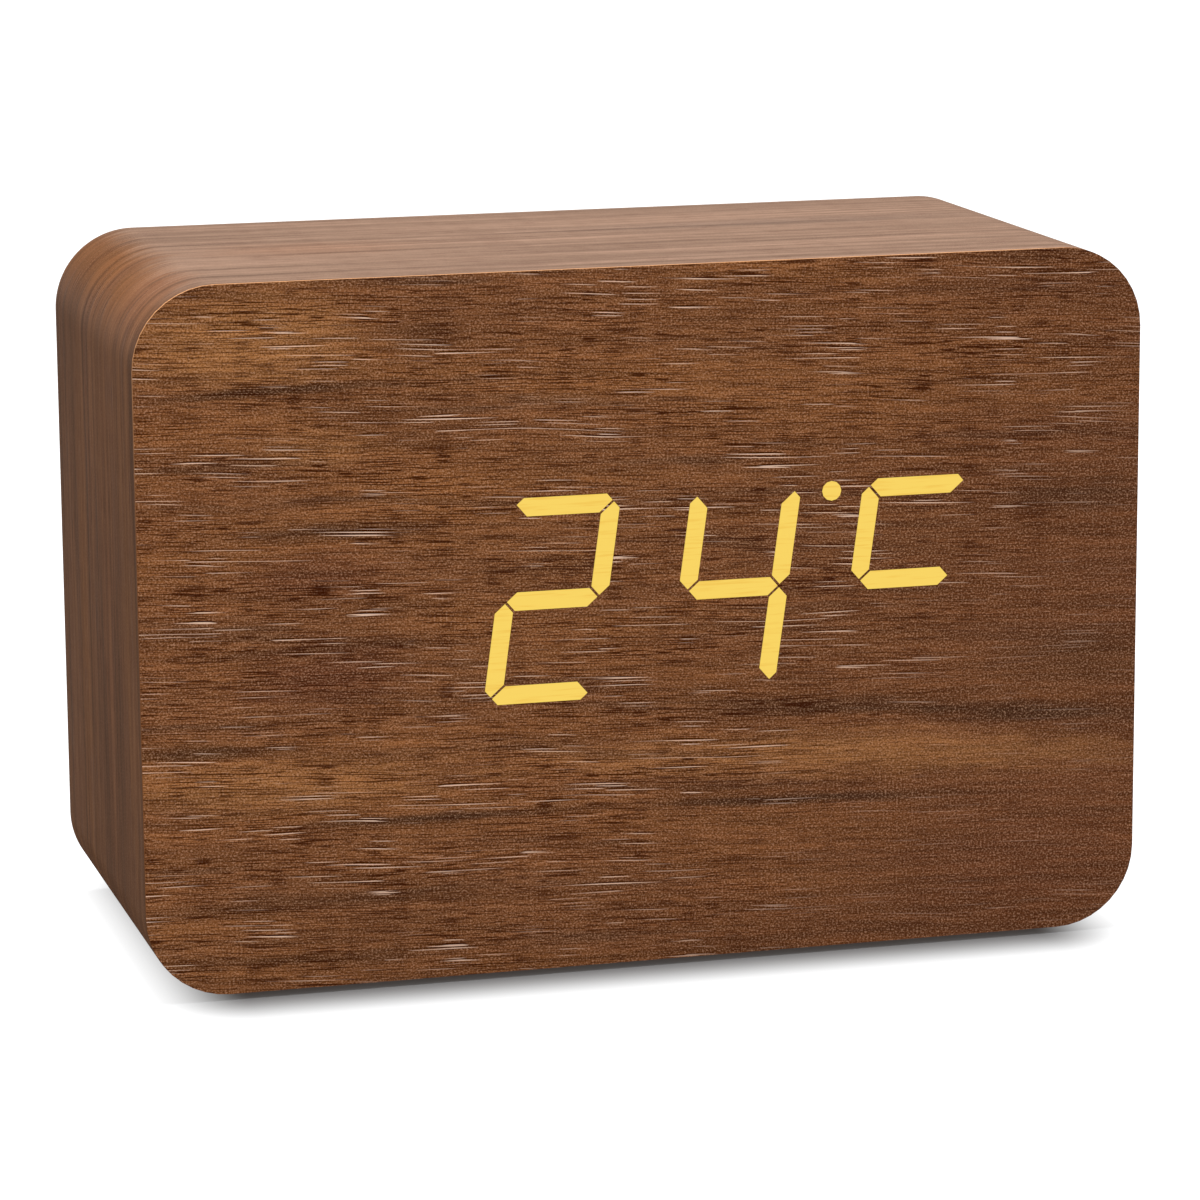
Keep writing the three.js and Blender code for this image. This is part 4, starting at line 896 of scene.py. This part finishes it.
def turned(name: str, profile: Sequence[Span], axis: Axis, centre: Sequence[float],
           towards: int = 1) -> bpy.types.Object:
    """A solid of revolution: each profile point goes round the axis on a circle.

    Its corner at angle a is centre + height along the axis + radius times (cos a, sin a) across
    it. The first and last profile points lie on the axis and become one corner each.

    Args:
        name: The piece's name.
        profile: Radius and height of each point in millimetres, ends at radius 0.
        axis: The axis that it is turned about.
        centre: The point of the axis at height 0, in metres.
        towards: 1 where the heights run along the axis, -1 where they run against it.

    Returns:
        The object.
    """
    along, first, second = axis.value
    radius, height = (np.array(profile) * (1, towards) * MM).T
    steps, count = CIRCLE_STEPS, len(profile) - 2
    angle = np.linspace(0, 2 * math.pi, steps, endpoint=False)[None, :]
    rings = np.zeros((count, steps, 3))
    rings[..., along] = height[1:-1, None]
    rings[..., first] = radius[1:-1, None] * np.cos(angle)
    rings[..., second] = radius[1:-1, None] * np.sin(angle)
    poles = np.zeros((2, 3))
    poles[:, along] = height[[0, -1]]
    points = np.concatenate([rings.reshape(-1, 3), poles]) + np.array(centre)
    faces = ring_faces(count, steps, closed_along=False)
    last, start, end = (count - 1) * steps, count * steps, count * steps + 1
    faces += [(start, (step + 1) % steps, step) for step in range(steps)]
    faces += [(end, last + step, last + (step + 1) % steps) for step in range(steps)]
    return meshed(name, points, faces, 35)


def rounded(corner: Span, radius: float, start_deg: float, end_deg: float,
            steps: int = 6) -> list[Span]:
    """Points of an arc in a profile.

    Args:
        corner: The arc's centre, as radius and height.
        radius: The arc's radius.
        start_deg: The angle where it starts, 0 outwards and 90 along the axis.
        end_deg: The angle where it ends.
        steps: How many pieces it has.

    Returns:
        The points, both ends among them.
    """
    angle = np.radians(np.linspace(start_deg, end_deg, steps + 1))
    arc = np.stack([corner[0] + radius * np.cos(angle), corner[1] + radius * np.sin(angle)], -1)
    return [tuple(point) for point in arc.tolist()]


def softened(node: str, name: str, width_mm: float) -> bpy.types.Object:
    """A copy of a solid with its flat faces made whole and its edges slightly rounded.

    Args:
        node: The solid.
        name: The new piece's name.
        width_mm: The width of the rounding.

    Returns:
        The object.
    """
    merged, flat_deg, sharp_deg = 2e-6, 0.5, 32
    shape = bmesh.new()
    shape.from_mesh(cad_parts[node].data)
    bmesh.ops.remove_doubles(shape, verts=shape.verts, dist=merged)
    bmesh.ops.dissolve_limit(shape, angle_limit=math.radians(flat_deg), verts=shape.verts,
                             edges=shape.edges)
    mesh = bpy.data.meshes.new(name)
    shape.to_mesh(mesh)
    shape.free()
    mesh.materials.clear()
    piece = linked(name, mesh, sharp_deg)
    bevel = piece.modifiers.new("soft_edges", "BEVEL")
    bevel.width = width_mm * MM
    bevel.segments = 2
    bevel.limit_method = "ANGLE"
    bevel.angle_limit = math.radians(sharp_deg)
    bevel.use_clamp_overlap = True
    even = piece.modifiers.new("flat_faces", "WEIGHTED_NORMAL")
    even.weight = 100
    even.keep_sharp = True
    return piece


@dataclass
class WoodWrap:
    """The film round the case, turned in over its rear edge."""

    PRINT_MAP = "print"

    width: float = 100.0
    low: float = 0.6
    high: float = 69.0
    corner_radius: float = 8.0
    front_y: float = -22.2
    rear_y: float = 22.5
    film: float = 0.3
    flange: float = 3.33
    fold: float = 0.6
    corner_steps: int = 28
    fold_steps: int = 5

    def path(self) -> tuple[np.ndarray, np.ndarray]:
        """The case's outline as a path from the middle of its underside.

        Returns:
            The places in X and Z, and the outward directions.
        """
        size = np.array([self.width, self.high - self.low])
        places, out = round_corners(size / 2 - self.corner_radius, self.corner_radius,
                                    self.corner_steps, start=-1)
        places = np.concatenate([[[0.0, -size[1] / 2]], places])
        return places + (0.0, (self.low + self.high) / 2), np.concatenate([[[0.0, -1.0]], out])

    def profile(self) -> np.ndarray:
        """The film's section: how far in from the outline, and Y.

        Returns:
            One row for each point, going round the section.
        """
        turn = np.linspace(0, math.pi / 2, self.fold_steps + 1)
        arc = np.stack([self.fold * (1 - np.cos(turn)),
                        self.rear_y - self.fold * (1 - np.sin(turn))], axis=-1)
        inner_y = self.rear_y - self.film
        return np.concatenate([
            [[0.0, self.front_y]], arc, [[self.flange, self.rear_y], [self.flange, inner_y],
                                         [self.film, inner_y], [self.film, self.front_y]]])

    def build(self) -> bpy.types.Object:
        """Carries the section along the outline and lays the print's map on it.

        A corner is place minus outward direction times the distance in, at the section's Y. The
        map gives the way along the outline and along the section.

        Returns:
            The film.
        """
        places, out = self.path()
        section = self.profile()
        flat = places[:, None, :] - out[:, None, :] * section[None, :, :1]
        depth = np.broadcast_to(section[None, :, 1], flat.shape[:2])
        points = np.stack([flat[..., 0], depth, flat[..., 1]], axis=-1) * MM
        faces = ring_faces(len(places), len(section), closed_along=True)
        film = meshed("wood_wrap", points, faces, 35)
        round_trip = np.concatenate([places, places[:1]])
        self.lay_map(film, way_along(round_trip), way_along(section))
        return film

    def lay_map(self, film: bpy.types.Object, way: np.ndarray, across: np.ndarray) -> None:
        """Gives each face corner its place on the print.

        A face between the last ring and the first one reads the whole way round instead of 0, so
        the print closes without a stretched face.

        Args:
            film: The film.
            way: The way along the outline to each ring and round it.
            across: The way along the section to each of its points.
        """
        mesh = film.data
        rings = len(way) - 1
        corner = np.zeros(len(mesh.loops), dtype=np.int64)
        mesh.loops.foreach_get("vertex_index", corner)
        sides = np.zeros(len(mesh.polygons), dtype=np.int64)
        mesh.polygons.foreach_get("loop_total", sides)
        face = np.repeat(np.arange(len(sides)), sides)
        ring, point = corner // len(across), corner % len(across)
        last = np.zeros(len(sides), dtype=bool)
        np.logical_or.at(last, face, ring == rings - 1)
        wrapped = np.where((ring == 0) & last[face], rings, ring)
        layer = mesh.uv_layers.new(name=self.PRINT_MAP)
        flat = np.stack([way[wrapped], across[point]], axis=-1) * MM
        layer.data.foreach_set("uv", flat.ravel())


@dataclass
class Assembly:
    """Pieces that belong together, with the shared finishes."""

    finish: Finish

    def wear(self, looks: dict[str, str]) -> None:
        """Dresses solids that keep their own meshes.

        Args:
            looks: The finish's name for each solid.
        """
        for node, look in looks.items():
            dress(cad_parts[node], self.finish[look])
            log.info("%s wears %s", node, look)

    def build(self) -> None:
        """Builds and dresses the pieces, in each assembly's own way."""
        raise NotImplementedError(type(self).__name__)


@dataclass
class Case(Assembly):
    """The block: fibreboard inside, film round it and on its front, rubber feet under it."""

    wrap: WoodWrap
    feet: tuple[str, ...] = ("front_left", "front_right", "rear_left", "rear_right")
    foot_radius: float = 4.0
    foot_height: float = 0.6
    foot_round: float = 0.2

    def wrap_print(self) -> WrapPrint:
        """The finish of the film round the case, with smudges by the way round it."""
        return WrapPrint(
            "wrap_print", base=screen(112, 76, 52), warm=screen(122, 82, 53),
            smoky=screen(96, 73, 60), fibre_strength=0.35, scratch_strength=0.12, speckle=0.12,
            roughness=0.6, streaks=Grain((60.0, 1.5, 1.0), 3.0, 0.6, 61.0), streak_depth=0.36,
            sheen=0.03, smudges=(
                (209, 30, 6, 36, 0, screen(115, 74, 43), 0.95),
                (209, 7, 7, 9, 0, screen(124, 84, 60), 0.7),
                (208, 22, 7, 3, 0, screen(100, 68, 48), 0.6),
                (240, 31, 40, 4, 0, screen(124, 82, 50), 0.6),
                (242, 17, 40, 4, 0, screen(122, 80, 52), 0.5),
                (142, 28, 34, 4, 0, screen(112, 92, 80), 0.6),
                (190, 22, 16, 7, 0, screen(132, 98, 78), 0.5)))

    def face_print(self) -> FacePrint:
        """The finish of the front film, with smudges by X and Z.

        Returns:
            The finish.
        """
        tan, smoke, red = screen(173, 116, 68), screen(69, 46, 31), screen(110, 65, 42)
        return FacePrint(
            "face_print", base=screen(134, 85, 51), warm=screen(153, 98, 56),
            smoky=screen(98, 70, 51), fibre_strength=0.88, scratch_strength=0.82, speckle=0.6,
            roughness=0.55, streaks=Grain((18.0, 0.8, 1.0), 3.0, 0.6, 61.0), streak_depth=0.3,
            smudges=(
                (-39, 61.7, 17, 7, 2.6, tan, 1.0), (-37, 57.1, 19, 0.8, 4.6, smoke, 0.85),
                (-22, 62, 6, 4, 2.6, smoke, 0.4), (-32, 51.6, 9, 2.6, 2.6, tan, 0.5),
                (-30, 43.6, 16, 1.2, 2.6, smoke, 0.75), (-30, 32.4, 18, 1, 2.6, smoke, 0.6),
                (-32, 29.5, 12, 5, 2.6, red, 0.85), (-33, 39.5, 10, 4, 2.6, red, 0.7),
                (-44, 22.3, 14, 1.2, 2.6, smoke, 0.75), (18, 25.8, 30, 1.4, -1.4, smoke, 0.7),
                (40, 24.6, 21, 1.4, -1.4, smoke, 0.8), (-36, 19.1, 24, 3.8, 2.6, tan, 0.75),
                (20, 20.9, 44, 3.4, -0.4, tan, 0.7), (-22, 15.5, 22, 0.8, 2.6, smoke, 0.75),
                (14, 16.5, 27, 0.8, 0.6, smoke, 0.85), (43, 46.4, 14, 2.4, 2.6, smoke, 0.5),
                (45, 30, 14, 5, 2.6, smoke, 0.4), (-34, 7.5, 30, 1.2, 2.6, smoke, 0.45),
                (-36, 1.9, 20, 1.2, 2.6, smoke, 0.5), (38, 9.7, 22, 10, 2.6, red, 0.5)))

    def build(self) -> None:
        """Builds the film and the feet, and dresses the block."""
        mount(self.wrap.build(), self.wrap_print().make(), CLOCK, "wood_film", "side_film")
        dress(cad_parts["front_film"], self.face_print().make())
        log.info("front_film wears face_print")
        self.wear({"case_body": "fibreboard", "front_board": "fibreboard"})
        for place in self.feet:
            self.foot(place)

    def foot(self, place: str) -> None:
        """Turns one foot with a rounded lower edge.

        Args:
            place: Which of the four it is.
        """
        low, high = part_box(f"foot_{place}")
        centre = (*((low + high) / 2).xy, low.z)
        edge = self.foot_round
        flat = self.foot_radius - edge
        profile = [(0, 0), (flat, 0), *rounded((flat, edge), edge, -90, 0)[1:],
                   (self.foot_radius, self.foot_height), (0, self.foot_height)]
        pad = turned(f"foot_pad_{place}", profile, Axis.Z, centre)
        mount(pad, self.finish["rubber"], CLOCK, "rubber", f"foot_{place}")


@dataclass
class Display(Assembly):
    """The light module behind the front film, with its board, screws and flat cable."""

    bars: tuple[str, ...] = ("digit_one_bars", "digit_two_bars", "digit_three_bars",
                             "digit_four_bars", "colon_bars", "degree_bar")

    def build(self) -> None:
        """Dresses the module's solids."""
        self.wear(dict.fromkeys(self.bars, "lit_resin") | {
            "display_reflector": "reflector_plastic", "display_board": "circuit_board",
            "display_screw_left": "steel", "display_screw_right": "steel",
            "display_header": "gloss_black", "main_header": "gloss_black",
            "display_ribbon": "flat_cable"})


@dataclass
class Electronics(Assembly):
    """The main board and what stands on it, and the aerial."""

    def build(self) -> None:
        """Dresses the inner solids."""
        self.wear({
            "main_board": "circuit_board", "receiver_board": "circuit_board",
            "controller_chip": "epoxy_blob", "quartz_crystal": "steel", "buzzer": "gloss_black",
            "temperature_sensor": "epoxy_blob", "slide_switch": "steel",
            "antenna_bracket": "black_moulding", "ferrite_rod": "ferrite",
            "antenna_coil": "copper_winding"})


@dataclass
class RearPanel(Assembly):
    """The cover in the back with its screws, battery door, socket and slider."""

    edge_round: float = 0.15
    small_round: float = 0.08
    screws: tuple[str, ...] = ("top_left", "top_right", "bottom_left", "bottom_right")

    def build(self) -> None:
        """Softens and dresses what shows at the back."""
        edge, small = self.edge_round, self.small_round
        parts = [
            ("rear_cover", "cover_moulding", CLOCK, "black_plastic", "black_moulding", edge),
            ("battery_door", "door_moulding", "door", "black_plastic", "door_moulding", edge),
            ("dc_jack", "power_socket", CLOCK, "black_plastic", "gloss_black", small),
            ("slide_knob", "alarm_slider_knob", "alarm_slider", "key_plastic", "key_plastic",
             small)]
        parts += [(f"cover_screw_{place}", f"screw_{place}", CLOCK, "steel", "steel", small)
                  for place in self.screws]
        for node, name, body, slot, look, width in parts:
            mount(softened(node, name, width), self.finish[look], body, slot, node)


@dataclass
class Keys(Assembly):
    """Four round keys with the switches under them."""

    names: tuple[str, ...] = ("set", "up", "down", "alarm")
    radius: float = 4.0
    edge: float = 0.45
    dish: float = 0.3
    flange_radius: float = 4.9
    flange_low: float = 1.5
    flange_high: float = 2.3
    stem_radius: float = 1.6
    dish_steps: int = 8

    def profile(self, height: float) -> list[Span]:
        """The cap's section from its stem to its dished top.

        The dish falls by dish times one minus the square of the share of the way to the rim.

        Args:
            height: The cap's whole height.

        Returns:
            Radius and height of each point, in millimetres.
        """
        rim = self.radius - self.edge
        share = np.linspace(1, 0, self.dish_steps + 1)[1:]
        dished = np.stack([rim * share, height - self.dish * (1 - share**2)], axis=-1)
        return [(0, 0), (self.stem_radius, 0), (self.stem_radius, self.flange_low),
                (self.flange_radius, self.flange_low), (self.flange_radius, self.flange_high),
                (self.radius, self.flange_high),
                *rounded((rim, height - self.edge), self.edge, 0, 90),
                *[tuple(point) for point in dished.tolist()]]

    def build(self) -> None:
        """Turns the caps and dresses the switches."""
        for name in self.names:
            low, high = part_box(f"{name}_button")
            middle = (low + high) / 2
            cap = turned(f"{name}_key_cap", self.profile((high.y - low.y) * PER_METRE), Axis.Y,
                         (middle.x, low.y, middle.z))
            mount(cap, self.finish["key_plastic"], f"{name}_key", "key_plastic", f"{name}_button")
            self.wear({f"{name}_plunger": "key_plastic", f"{name}_switch": "gloss_black"})


@dataclass(frozen=True)
class Coil:
    """A wire wound round a cone along X, which lies flat at both of its ends."""

    length: float = 4.65
    base_radius: float = 3.1
    tip_radius: float = 2.2
    wire_radius: float = 0.35
    sunk: float = 0.1
    curls: float = 3.5
    flat_curls: float = 0.6
    steps_per_curl: int = 36
    sides: int = 12

    def build(self, name: str, foot: Sequence[float], towards: int) -> bpy.types.Object:
        """Carries the wire's circle along the coil.

        At the share s of the way the middle of the wire has turned by curls times a whole turn,
        its radius has fallen evenly from the base to the tip, and its height rises evenly from
        0 to length between the flat ends. A corner lies at the middle plus the wire's radius
        times (cos t, sin t) along the way out and across it.

        Args:
            name: The piece's name.
            foot: Where the cone's axis meets the plate, in metres.
            towards: 1 where the coil grows along X, -1 where it grows against it.

        Returns:
            The spring.
        """
        share = np.linspace(0, 1, int(self.curls * self.steps_per_curl) + 1)
        angle = 2 * math.pi * self.curls * share
        flat = self.flat_curls / self.curls
        height = self.length * np.clip((share - flat) / (1 - 2 * flat), 0, 1) + self.sunk
        radius = self.base_radius + (self.tip_radius - self.base_radius) * share
        out = np.stack([np.zeros_like(angle), np.cos(angle), np.sin(angle)], axis=-1)
        middle = radius[:, None] * out + height[:, None] * np.array([1.0, 0.0, 0.0])
        way = np.gradient(middle, axis=0)
        way /= np.linalg.norm(way, axis=1, keepdims=True)
        out -= (out * way).sum(axis=1, keepdims=True) * way
        out /= np.linalg.norm(out, axis=1, keepdims=True)
        beside = np.cross(way, out)
        turn = np.linspace(0, 2 * math.pi, self.sides, endpoint=False)[None, :, None]
        rings = middle[:, None] + self.wire_radius * (np.cos(turn) * out[:, None]
                                                      + np.sin(turn) * beside[:, None])
        return skinned(name, rings * (towards, 1, towards) * MM + np.array(foot), 50)


@dataclass(frozen=True)
class Plate:
    """A stamped plate across X with rounded corners and broken edges."""

    corner: float = 0.8
    edge: float = 0.08
    corner_steps: int = 8

    def build(self, name: str, low: np.ndarray, high: np.ndarray) -> bpy.types.Object:
        """Carries the outline through the plate, moved in by the edge at both faces.

        Args:
            name: The piece's name.
            low: The plate's lowest X, Y and Z in millimetres.
            high: Its highest X, Y and Z.

        Returns:
            The plate.
        """
        reach = (high - low)[1:] / 2 - self.corner
        places, out = round_corners(reach, self.corner, self.corner_steps, start=0)
        inset = np.array([self.edge, 0.0, 0.0, self.edge])[:, None, None]
        flat = (low + high)[1:] / 2 + places - inset * out
        depth = np.array([low[0], low[0] + self.edge, high[0] - self.edge, high[0]])
        depth = np.broadcast_to(depth[:, None, None], (*flat.shape[:2], 1))
        return skinned(name, np.concatenate([depth, flat], axis=-1) * MM, 30)


@dataclass(frozen=True)
class Contact:
    """A contact's cells, and 1 where it stands at their low X end or -1 at their high one."""

    name: str
    towards: int
    cells: tuple[int, ...]


@dataclass
class Batteries(Assembly):
    """Three slim cells and the contacts at their ends."""

    count: int = 3
    radius: float = 5.25
    nub_radius: float = 1.9
    nub_length: float = 1.0
    edge: float = 0.5
    base_radius: float = 3.9
    base_depth: float = 0.2
    plate_thickness: float = 0.4
    dome_radius: float = 2.0
    dome_height: float = 0.8
    dome_round: float = 0.5
    plate: Plate = Plate()
    coil: Coil = Coil()
    contacts: tuple[Contact, ...] = (
        Contact("negative", 1, (1,)), Contact("link_left", 1, (2, 3)),
        Contact("link_right", -1, (1, 2)), Contact("positive", -1, (3,)))

    def towards(self, number: int) -> int:
        """1 where a cell's nub points along X, as every second one's does, or else -1."""
        return 1 if number % 2 else -1

    def profile(self, length: float) -> list[Span]:
        """A cell's section from its base to its nub.

        Args:
            length: The cell's whole length.

        Returns:
            Radius and height of each point, in millimetres.
        """
        cap = length - self.nub_length
        rim = self.radius - self.edge
        nub = self.nub_radius - self.edge / 2
        return [(0, self.base_depth), (self.base_radius - self.edge, self.base_depth),
                (self.base_radius, 0), *rounded((rim, self.edge), self.edge, -90, 0),
                *rounded((rim, cap - self.edge), self.edge, 0, 90), (self.nub_radius, cap),
                *rounded((nub, length - self.edge / 2), self.edge / 2, 0, 90), (0, length)]

    def dome(self) -> list[Span]:
        """The section of the dome that meets a nub, by radius and height in millimetres."""
        corner = (self.dome_radius - self.dome_round, self.dome_height - self.dome_round)
        return [(0, 0), (self.dome_radius, 0), *rounded(corner, self.dome_round, 0, 90),
                (0, self.dome_height)]

    def build(self) -> None:
        """Turns the cells, every second one the other way round, and builds the contacts."""
        for number in range(1, self.count + 1):
            node, towards = f"battery_{number}", self.towards(number)
            low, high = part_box(node)
            middle = (low + high) / 2
            base, nub = (low.x, high.x)[::towards]
            cell = turned(f"cell_{number}", self.profile((high.x - low.x) * PER_METRE), Axis.X,
                          (base, middle.y, middle.z), towards)
            sleeve = CellSleeve(f"cell_sleeve_{number}", nub * PER_METRE, base * PER_METRE)
            mount(cell, sleeve.make(), CLOCK, "cell_sleeve", node)
        for contact in self.contacts:
            self.contact(contact)

    def contact(self, contact: Contact) -> None:
        """Builds a plate with a spring for each cell's base and a dome for each nub.

        Args:
            contact: Which contact it is.
        """
        node, towards = f"contact_{contact.name}", contact.towards
        low, high = (np.array(corner) * PER_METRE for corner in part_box(node))
        high[1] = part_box("contact_positive")[1].y * PER_METRE
        if towards > 0:
            high[0] = face = low[0] + self.plate_thickness
        else:
            low[0] = face = high[0] - self.plate_thickness
        pieces = [self.plate.build(f"contact_plate_{contact.name}", low, high)]
        for number in contact.cells:
            first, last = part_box(f"battery_{number}")
            middle = (first + last) / 2
            foot = (face * MM, middle.y, middle.z)
            if self.towards(number) == towards:
                pieces.append(self.coil.build(f"battery_spring_{number}", foot, towards))
            else:
                pieces.append(turned(f"contact_dome_{number}", self.dome(), Axis.X, foot,
                                     towards))
        for piece in pieces:
            mount(piece, self.finish["nickel"], CLOCK, "nickel", node)


@dataclass(frozen=True)
class Lamp:
    """A square soft lamp: its place and the length of its side in metres, and its watts."""

    name: str
    place: Triple
    size: float
    watts: float


@dataclass
class Studio:
    """The camera, the soft lamps, the white surroundings and the floor."""

    eye: Triple = (-0.1266, -0.4665, 0.1311)
    azimuth: float = -15.30
    elevation: float = 11.57
    roll: float = -0.39
    lens: float = 146.6
    clip_start: float = 0.01
    lamps: tuple[Lamp, ...] = (Lamp("top_lamp", (0.0, 0.05, 1.1), 0.5, 17.0),
                               Lamp("front_lamp", (-0.1, -1.2, 0.3), 0.9, 4.5))
    lamp_aim: Triple = (0.0, 0.0, 0.035)
    floor_size: float = 6.0

    def camera(self) -> None:
        """Aims the camera by its azimuth, elevation and roll.

        The way back from the scene is (sin a cos e, -cos a cos e, sin e), and right and up are
        turned about it by the roll.
        """
        a, e, r = (math.radians(x) for x in (self.azimuth, self.elevation, self.roll))
        back = Vector((math.sin(a) * math.cos(e), -math.cos(a) * math.cos(e), math.sin(e)))
        level = Vector((0, 0, 1)).cross(back).normalized()
        plumb = back.cross(level)
        right = math.cos(r) * level + math.sin(r) * plumb
        up = -math.sin(r) * level + math.cos(r) * plumb
        data = bpy.data.cameras.new("camera")
        data.lens = self.lens
        data.clip_start = self.clip_start
        camera = bpy.data.objects.new("camera", data)
        camera.matrix_world = Matrix.Translation(self.eye) @ Matrix(
            (right, up, back)).transposed().to_4x4()
        bpy.context.scene.collection.objects.link(camera)
        bpy.context.scene.camera = camera

    def hang(self, lamp: Lamp) -> None:
        """Hangs a lamp that faces the clock.

        Args:
            lamp: Which lamp it is.
        """
        data = bpy.data.lights.new(lamp.name, "AREA")
        data.size = lamp.size
        data.energy = lamp.watts
        light = bpy.data.objects.new(lamp.name, data)
        aim = Vector(self.lamp_aim) - Vector(lamp.place)
        light.rotation_euler = aim.to_track_quat("-Z", "Y").to_euler()
        light.location = lamp.place
        light.visible_camera = False
        bpy.context.scene.collection.objects.link(light)

    def floor(self) -> None:
        """Lays a flat square floor."""
        half = self.floor_size / 2
        corners = [(-half, -half, 0), (half, -half, 0), (half, half, 0), (-half, half, 0)]
        mesh = bpy.data.meshes.new("floor")
        mesh.from_pydata(corners, [], [(0, 1, 2, 3)])
        floor = bpy.data.objects.new("floor", mesh)
        bpy.context.scene.collection.objects.link(floor)
        dress(floor, FloorWhite("floor_white").make())

    def build(self) -> None:
        """Sets up the whole studio."""
        self.camera()
        Surroundings().build()
        self.floor()
        for lamp in self.lamps:
            self.hang(lamp)
        bpy.context.scene.view_settings.view_transform = "Standard"


def main() -> None:
    """Builds the clock and its studio."""
    logging.basicConfig(level=logging.INFO, format="%(name)s: %(message)s")
    finish = Finish()
    for assembly in (Case(finish, WoodWrap()), Display(finish), RearPanel(finish), Keys(finish),
                     Batteries(finish), Electronics(finish)):
        assembly.build()
        log.info("%s is built", type(assembly).__name__)
    Studio().build()
    log.info("the studio is built")


if __name__ == "__main__":
    main()
